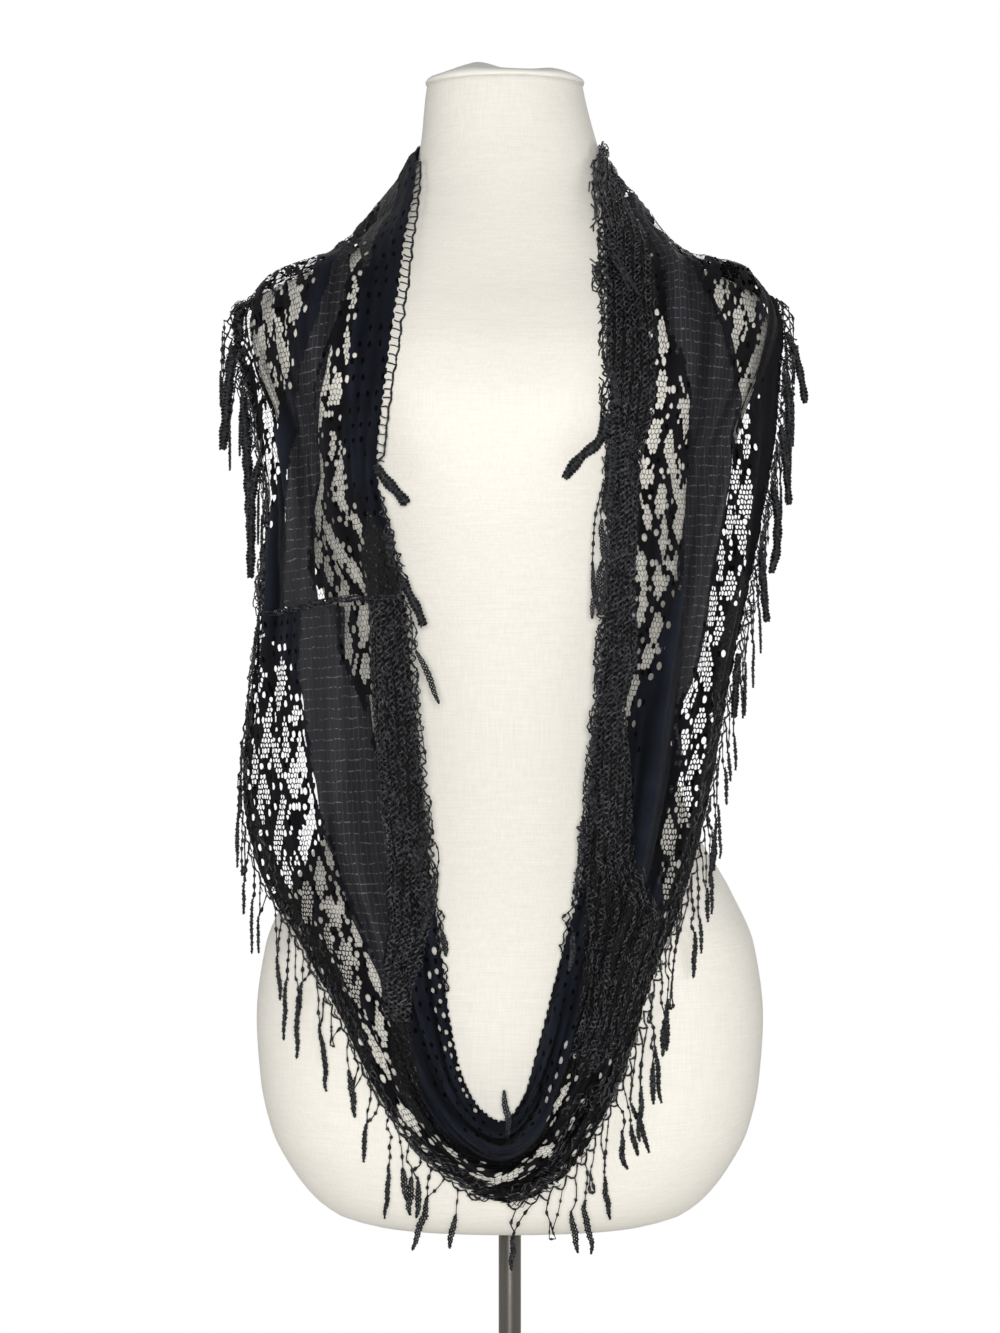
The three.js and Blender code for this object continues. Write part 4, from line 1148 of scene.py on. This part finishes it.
def ladderEdge():
    # open thread edging: one knotted cord, held off the cloth by slanting rungs
    values = {"start": 2.9, "end": 6.0, "wide": 6.2, "pitch": 6.2, "yarn": 0.5, "cord": 0.62, "slant": 1.8}
    basket = YarnBasket()
    anchors, t = edgeAnchors(0, values["start"], values["end"], values["pitch"], 0.4)
    far = onCloth(fromFlat(np.full(len(t), -values["wide"]), toFlat(0, t)[1])[0], t, 0.4)
    cord = []
    for k, (a, b) in enumerate(zip(anchors, far)):
        out = a + (b - a) * (1 if k % 2 else 0.84) * rng.uniform(0.9, 1.1)
        out = out - [0, 0, values["slant"] * rng.uniform(0.4, 1.2) * mm]
        cord.append(out)
        middle = (a + out) / 2 + [0, 0, rng.uniform(-0.8, 0.8) * mm]
        basket.tube(smoothPath([a, middle, out], 1.2 * mm), values["yarn"] * rng.uniform(0.8, 1.3) * mm)
    cord[0], cord[-1] = anchors[0], anchors[-1]
    line = smoothPath(cord, 1.1 * mm)
    knots = np.array([rng.uniform(0.85, 1.6) for _ in line])
    basket.tube(line, values["cord"] * knots * mm, 5)
    return basket.piece("ladderEdging", fringeYarn)


ladderPiece = ladderEdge()


def joinSeam():
    # three overlock cords along the join and a thread that wraps them
    values = {"station": seamStation, "turns": 46, "yarn": 0.55}
    basket = YarnBasket()
    s = np.linspace(0.02, 0.98, 120)
    lumps = np.array([rng.uniform(0.7, 1.5) for _ in s])
    for row, (shift, lift) in enumerate(((-0.02, 1.3), (0.02, 1.5), (0.0, 2.2))):
        t = values["station"] + shift + 0.03 * np.sin(s * 9 + 1) + 0.014 * np.sin(s * 40 + row)
        basket.tube(onCloth(s, t, lift + 0.5 * np.sin(s * 55 + row * 2)), values["yarn"] * lumps * mm, 5)
    for k in range(values["turns"]):
        at = 0.03 + 0.94 * (k + rng.uniform(-0.3, 0.3)) / values["turns"]
        middle = values["station"] + 0.03 * math.sin(at * 9 + 1)
        angle = np.linspace(0, 2 * np.pi, 9)
        basket.tube(onCloth(at + 0.004 * np.sin(angle / 2), middle + 0.04 * np.cos(angle),
                            1.4 + 1.5 * np.sin(angle)), rng.uniform(0.3, 0.5) * mm)
    return basket.piece("joinSeamOverlock", seamYarn)


seamPiece = joinSeam()


def edgeCurls(name, areas, plait):
    # curls of glossy yarn that stand off the cloth's edges, and the plaited cords of the close edge lace
    values = {"columns": 6, "turn": 7.6, "sway": 2.1, "yarn": 0.62, "step": 1.3}
    basket = YarnBasket()
    for count, start, end, low, high, shortest, longest, tallest, yarn in areas:
        for _ in range(count):
            t = rng.uniform(start, end)
            ends = [float(limit(t)) for limit in (low, high)]
            u, v = (float(c) for c in toFlat(rng.uniform(*ends), t))
            long, wiggle = rng.uniform(shortest, longest), rng.uniform(0.5, 0.16 * longest)
            share = np.linspace(0, 1, max(6, int(long / 1.6)))
            phase = rng.uniform(0, 6.28)
            cu = u + wiggle * np.sin(share * long * rng.uniform(0.5, 0.9) + phase)
            cv = v + long * (share - 0.5) + 0.6 * wiggle * np.cos(share * long * 0.9 + phase)
            cs, ct = fromFlat(cu, cv)
            lift = 0.5 + tallest * np.sin(np.pi * share) * rng.uniform(0.25, 1)
            basket.tube(onCloth(cs, ct, lift), yarn * rng.uniform(0.75, 1.3) * mm, 3)
    v = np.arange(*(float(toFlat(0.5, t)[1]) for t in plait), values["step"])
    t = np.interp(v, vRow, tLine)
    low, high = bandEnds(t)[:2]
    for column in range(values["columns"]):
        place = (column + 0.5 + 0.25 * np.sin(v * 0.05 + column)) / values["columns"]
        middle = toFlat(low + (high - low) * place, t)[0]
        for hand in (-1, 1):
            angle = 2 * np.pi * v / values["turn"] + column * 1.9 + 0.8 * np.sin(v * 0.11 + column)
            cs, ct = fromFlat(middle + hand * values["sway"] * np.sin(angle), v)
            lift = 0.9 + 0.7 * hand * np.cos(angle) + 0.4 * np.sin(v * 0.3 + column)
            radii = values["yarn"] * (1 + 0.25 * np.sin(angle * 0.37 + hand))
            basket.tube(onCloth(cs, ct, lift), radii * mm, 3)
    return basket.piece(name, curlYarn)


def bandEnd(k):
    return lambda t: bandEnds(np.array(t))[k]


def steady(share):
    return lambda t: share


# how many, first and last station, limits across the cloth, shortest, longest, height off it, yarn radius
curlsLeft = edgeCurls("edgeCurlsLeft", [
    (330, 8.1, 12.8, bandEnd(0), bandEnd(1), 3, 9, 1.6, 0.42),
    (200, 2.6, 7.9, bandEnd(6), steady(1.0), 5, 12, 2.0, 0.42),
    (80, 4.3, 7.9, steady(0.98), steady(1.05), 9, 24, 4.0, 0.5),
    (260, 8.2, 15.8, bandEnd(6), steady(1.02), 5, 12, 2.5, 0.45),
    (60, 6.3, 12.5, steady(-0.03), steady(0.03), 7, 14, 3.0, 0.5),
], (8.05, 13.0))
curlsRight = edgeCurls("edgeCurlsRight", [
    (520, 18.5, 29.4, bandEnd(0), bandEnd(1), 3, 9, 1.8, 0.42),
    (150, 20.5, 29.4, steady(-0.04), steady(0.03), 8, 18, 3.5, 0.55),
    (34, 27.9, 29.2, steady(-0.06), steady(0.02), 12, 22, 5.0, 0.65),
    (90, 23, 27.6, steady(0.98), steady(1.05), 9, 22, 4.0, 0.5),
    (260, 16.2, 23, bandEnd(6), steady(1.02), 5, 12, 2.5, 0.45),
], (18.6, 29.4))


def fingerTassel(basket, root, way, long, wide):
    # a round plaited tube, blunt at its end: three strands wound each way round a core
    values = {"turn": 7.5, "strand": 0.8}
    way = unit(way)
    across = np.cross(way, [0, 1, 0])
    bends = [0] + [rng.gauss(0, 0.5 + long * 0.03) for _ in range(3)]
    line = [root + (way * long * k + across * bend) * mm for k, bend in zip((0, 0.35, 0.7, 1), bends)]
    line = smoothPath(hangClear(line, wide / 2 * mm), 1.0 * mm)
    across = unit(across)
    deep = np.cross(across, way)
    share = np.linspace(0, 1, len(line))
    taper = np.minimum(1, np.minimum(0.45 + share * 4, 0.6 + (1 - share) * 8))
    radius = taper * (wide / 2 - values["strand"]) * mm
    radius = radius * (1 + 0.16 * np.sin(share * long * 0.4 + rng.uniform(0, 6)))
    basket.tube(line, np.maximum(radius * 0.8, 0.3 * mm), 6)
    for hand in (-1, 1):
        for k in range(3):
            angle = hand * 2 * np.pi * share * long / values["turn"] + k * 2 * np.pi / 3
            turned = across * (radius * np.cos(angle))[:, None] + deep * (radius * np.sin(angle))[:, None]
            basket.tube(line + turned, values["strand"] * mm)


def strayTassels():
    # the few that stand out on their own: edge, station, way across, length, width in mm
    values = [
        (0, 5.95, 0.85, 33, 7.8), (0, 26.35, -0.62, 52, 8), (0, 25.9, -0.08, 42, 7.5), (0, 7.75, 0.45, 36, 7),
        (1, 4.1, -0.05, 74, 8), (1, 4.9, -0.02, 96, 8), (1, 5.6, -0.08, 84, 7), (1, 6.7, 0.06, 46, 6.5),
        (1, 27.8, 0.3, 52, 6), (1, 26.9, 0.08, 60, 7.5), (1, 26.2, 0.12, 56, 6), (1, 25.4, 0.05, 60, 7),
        (1, 24.6, 0.16, 50, 6), (1, 23.4, -0.1, 44, 6),
    ]
    basket = YarnBasket()
    for side, t, lean, long, wide in values:
        root = onCloth(float(side), t, 2.0)
        fingerTassel(basket, root, np.array([lean, 0, -1.0]), long, wide)
    # one leaf stands up out of the bottom of the loop
    root = onCloth(0.1, 16.15, 2.0)
    leafTassel(basket, root + np.array([[0, 0, -6], [1, -1, 6], [-1.5, -1, 17], [-2, 0, 26]]) * mm, 5.5)
    # a looped pair of leaves whose threads meet at the tip
    root = onCloth(0.0, 25.45, 2.0) - np.array([5, 0, 0]) * mm
    for shift in (-4.5, 4.5):
        belly = root + np.array([shift - 3, -2, -55]) * mm
        tip = root + np.array([-3, -2, -88]) * mm
        upper = (root + belly) / 2 + np.array([shift / 2, 0, 0]) * mm
        lower = (belly + tip) / 2 + np.array([shift / 3, 0, 0]) * mm
        knottedThread(basket, hangClear([root, upper, belly], 2 * mm))
        leafTassel(basket, hangClear([belly, lower, tip], 2 * mm), 4.5)
    return basket.piece("strayTassels", fringeYarn)


strayPiece = strayTassels()
print("fringe, edging and seam built")

# each piece, the CAD node it stands for if there is one, and its material slot
for piece, node, slot in (
    *((lacePieces[name]["piece"], node, "scarf_lace") for name, node, _, _ in stretches),
    *((piece, None, "scarf_lace") for piece in sheerPieces.values()),
    (formPiece, "dress_form", "form_linen"), (capPiece, "neck_cap", "neck_cover"),
    (basePiece, "base", "base_steel"), (polePiece, "pole", "pole_steel"),
    (ladderPiece, "ladder_edge", "fringe_yarn"), (seamPiece, "join_seam", "seam_yarn"),
    *((piece, node, "fringe_yarn") for node, piece in fringePieces.items()),
    *((piece, None, "fringe_yarn") for piece in (curlsLeft, curlsRight, strayPiece)),
):
    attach(piece, "root")
    if node:
        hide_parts(node)

studioShape = {
    "floorRadius": 2.2, "floorDrop": 0.0005, "floorSides": 96, "worldLight": 0.17,
    # name, place, what it looks at, size in m, power in W
    "lamps": [
        ("frontLight", (-0.01, -1.95, 1.17), (0, 0, 1.15), 0.3, 28.5),
        ("leftLight", (-2.4, -0.5, 1.6), (0, 0, 1.1), 1.4, 12),
        ("rightLight", (2.4, -0.5, 1.6), (0, 0, 1.1), 1.4, 12),
        ("backLight", (0.4, 2.4, 2.4), (0, 0, 1.2), 1.5, 28),
    ],
}


# Matt painted floor: even and pale, with a faint grain
def studioFloor():
    material, shader = newMaterial("paleStudioFloor", {"Base Color": toLinear("#e8e7e4"), "Roughness": 0.7})
    grain = addNode(material, "TexNoise", {"Scale": 40.0, "Detail": 3.0})
    bump = addNode(material, "Bump", {"Strength": 0.05}, {"Height": grain})
    join(material, bump, shader.inputs["Normal"])
    radius, sides = studioShape["floorRadius"], studioShape["floorSides"]
    points = [(radius * math.cos(2 * math.pi * k / sides), radius * math.sin(2 * math.pi * k / sides),
               -studioShape["floorDrop"]) for k in range(sides)]
    meshObject("studioFloor", points, [tuple(range(sides))], material, smooth=False)


def studioWorld():
    # a plain white surround to look at, which lights the object only a little
    world = bpy.data.worlds.new("studioWorld")
    bpy.context.scene.world = world
    world.use_nodes = True
    light = world.node_tree.nodes["Background"]
    light.inputs["Color"].default_value = (1, 1, 1, 1)
    light.inputs["Strength"].default_value = studioShape["worldLight"]
    path = addNode(world, "LightPath")
    white = addNode(world, "Background", {"Color": (1, 1, 1, 1), "Strength": 1.0})
    seen = path.outputs["Is Camera Ray"]
    for ray in ("Is Transmission Ray", "Is Glossy Ray"):
        seen = addNode(world, "Math", {"operation": "MAXIMUM"}, {0: seen, 1: path.outputs[ray]})
    mixed = addNode(world, "MixShader", {}, {0: seen, 1: light, 2: white})
    join(world, mixed, world.node_tree.nodes["World Output"].inputs["Surface"])


def studioLamps():
    for name, place, target, size, power in studioShape["lamps"]:
        lamp = bpy.data.lights.new(name, "AREA")
        lamp.shape = "DISK"
        lamp.size = size
        lamp.energy = power
        holder = bpy.data.objects.new(name, lamp)
        holder.location = place
        holder.rotation_euler = (Vector(target) - Vector(place)).to_track_quat("-Z", "Y").to_euler()
        bpy.context.collection.objects.link(holder)


viewShape = {"distance": 1.8, "height": 1.143, "left": -0.007, "seenHeight": 0.951762}      # in m


def camera():
    data = bpy.data.cameras.new("viewCamera")
    data.sensor_fit = "VERTICAL"
    data.sensor_height = 36
    data.lens = data.sensor_height * viewShape["distance"] / viewShape["seenHeight"]
    data.clip_end = 50
    holder = bpy.data.objects.new("viewCamera", data)
    holder.location = (viewShape["left"], -viewShape["distance"], viewShape["height"])
    holder.rotation_euler = (math.pi / 2, 0, 0)
    bpy.context.collection.objects.link(holder)
    bpy.context.scene.camera = holder


studioFloor()
studioWorld()
studioLamps()
camera()
bpy.context.scene.view_settings.view_transform = "Standard"
print("floor, light and camera set")
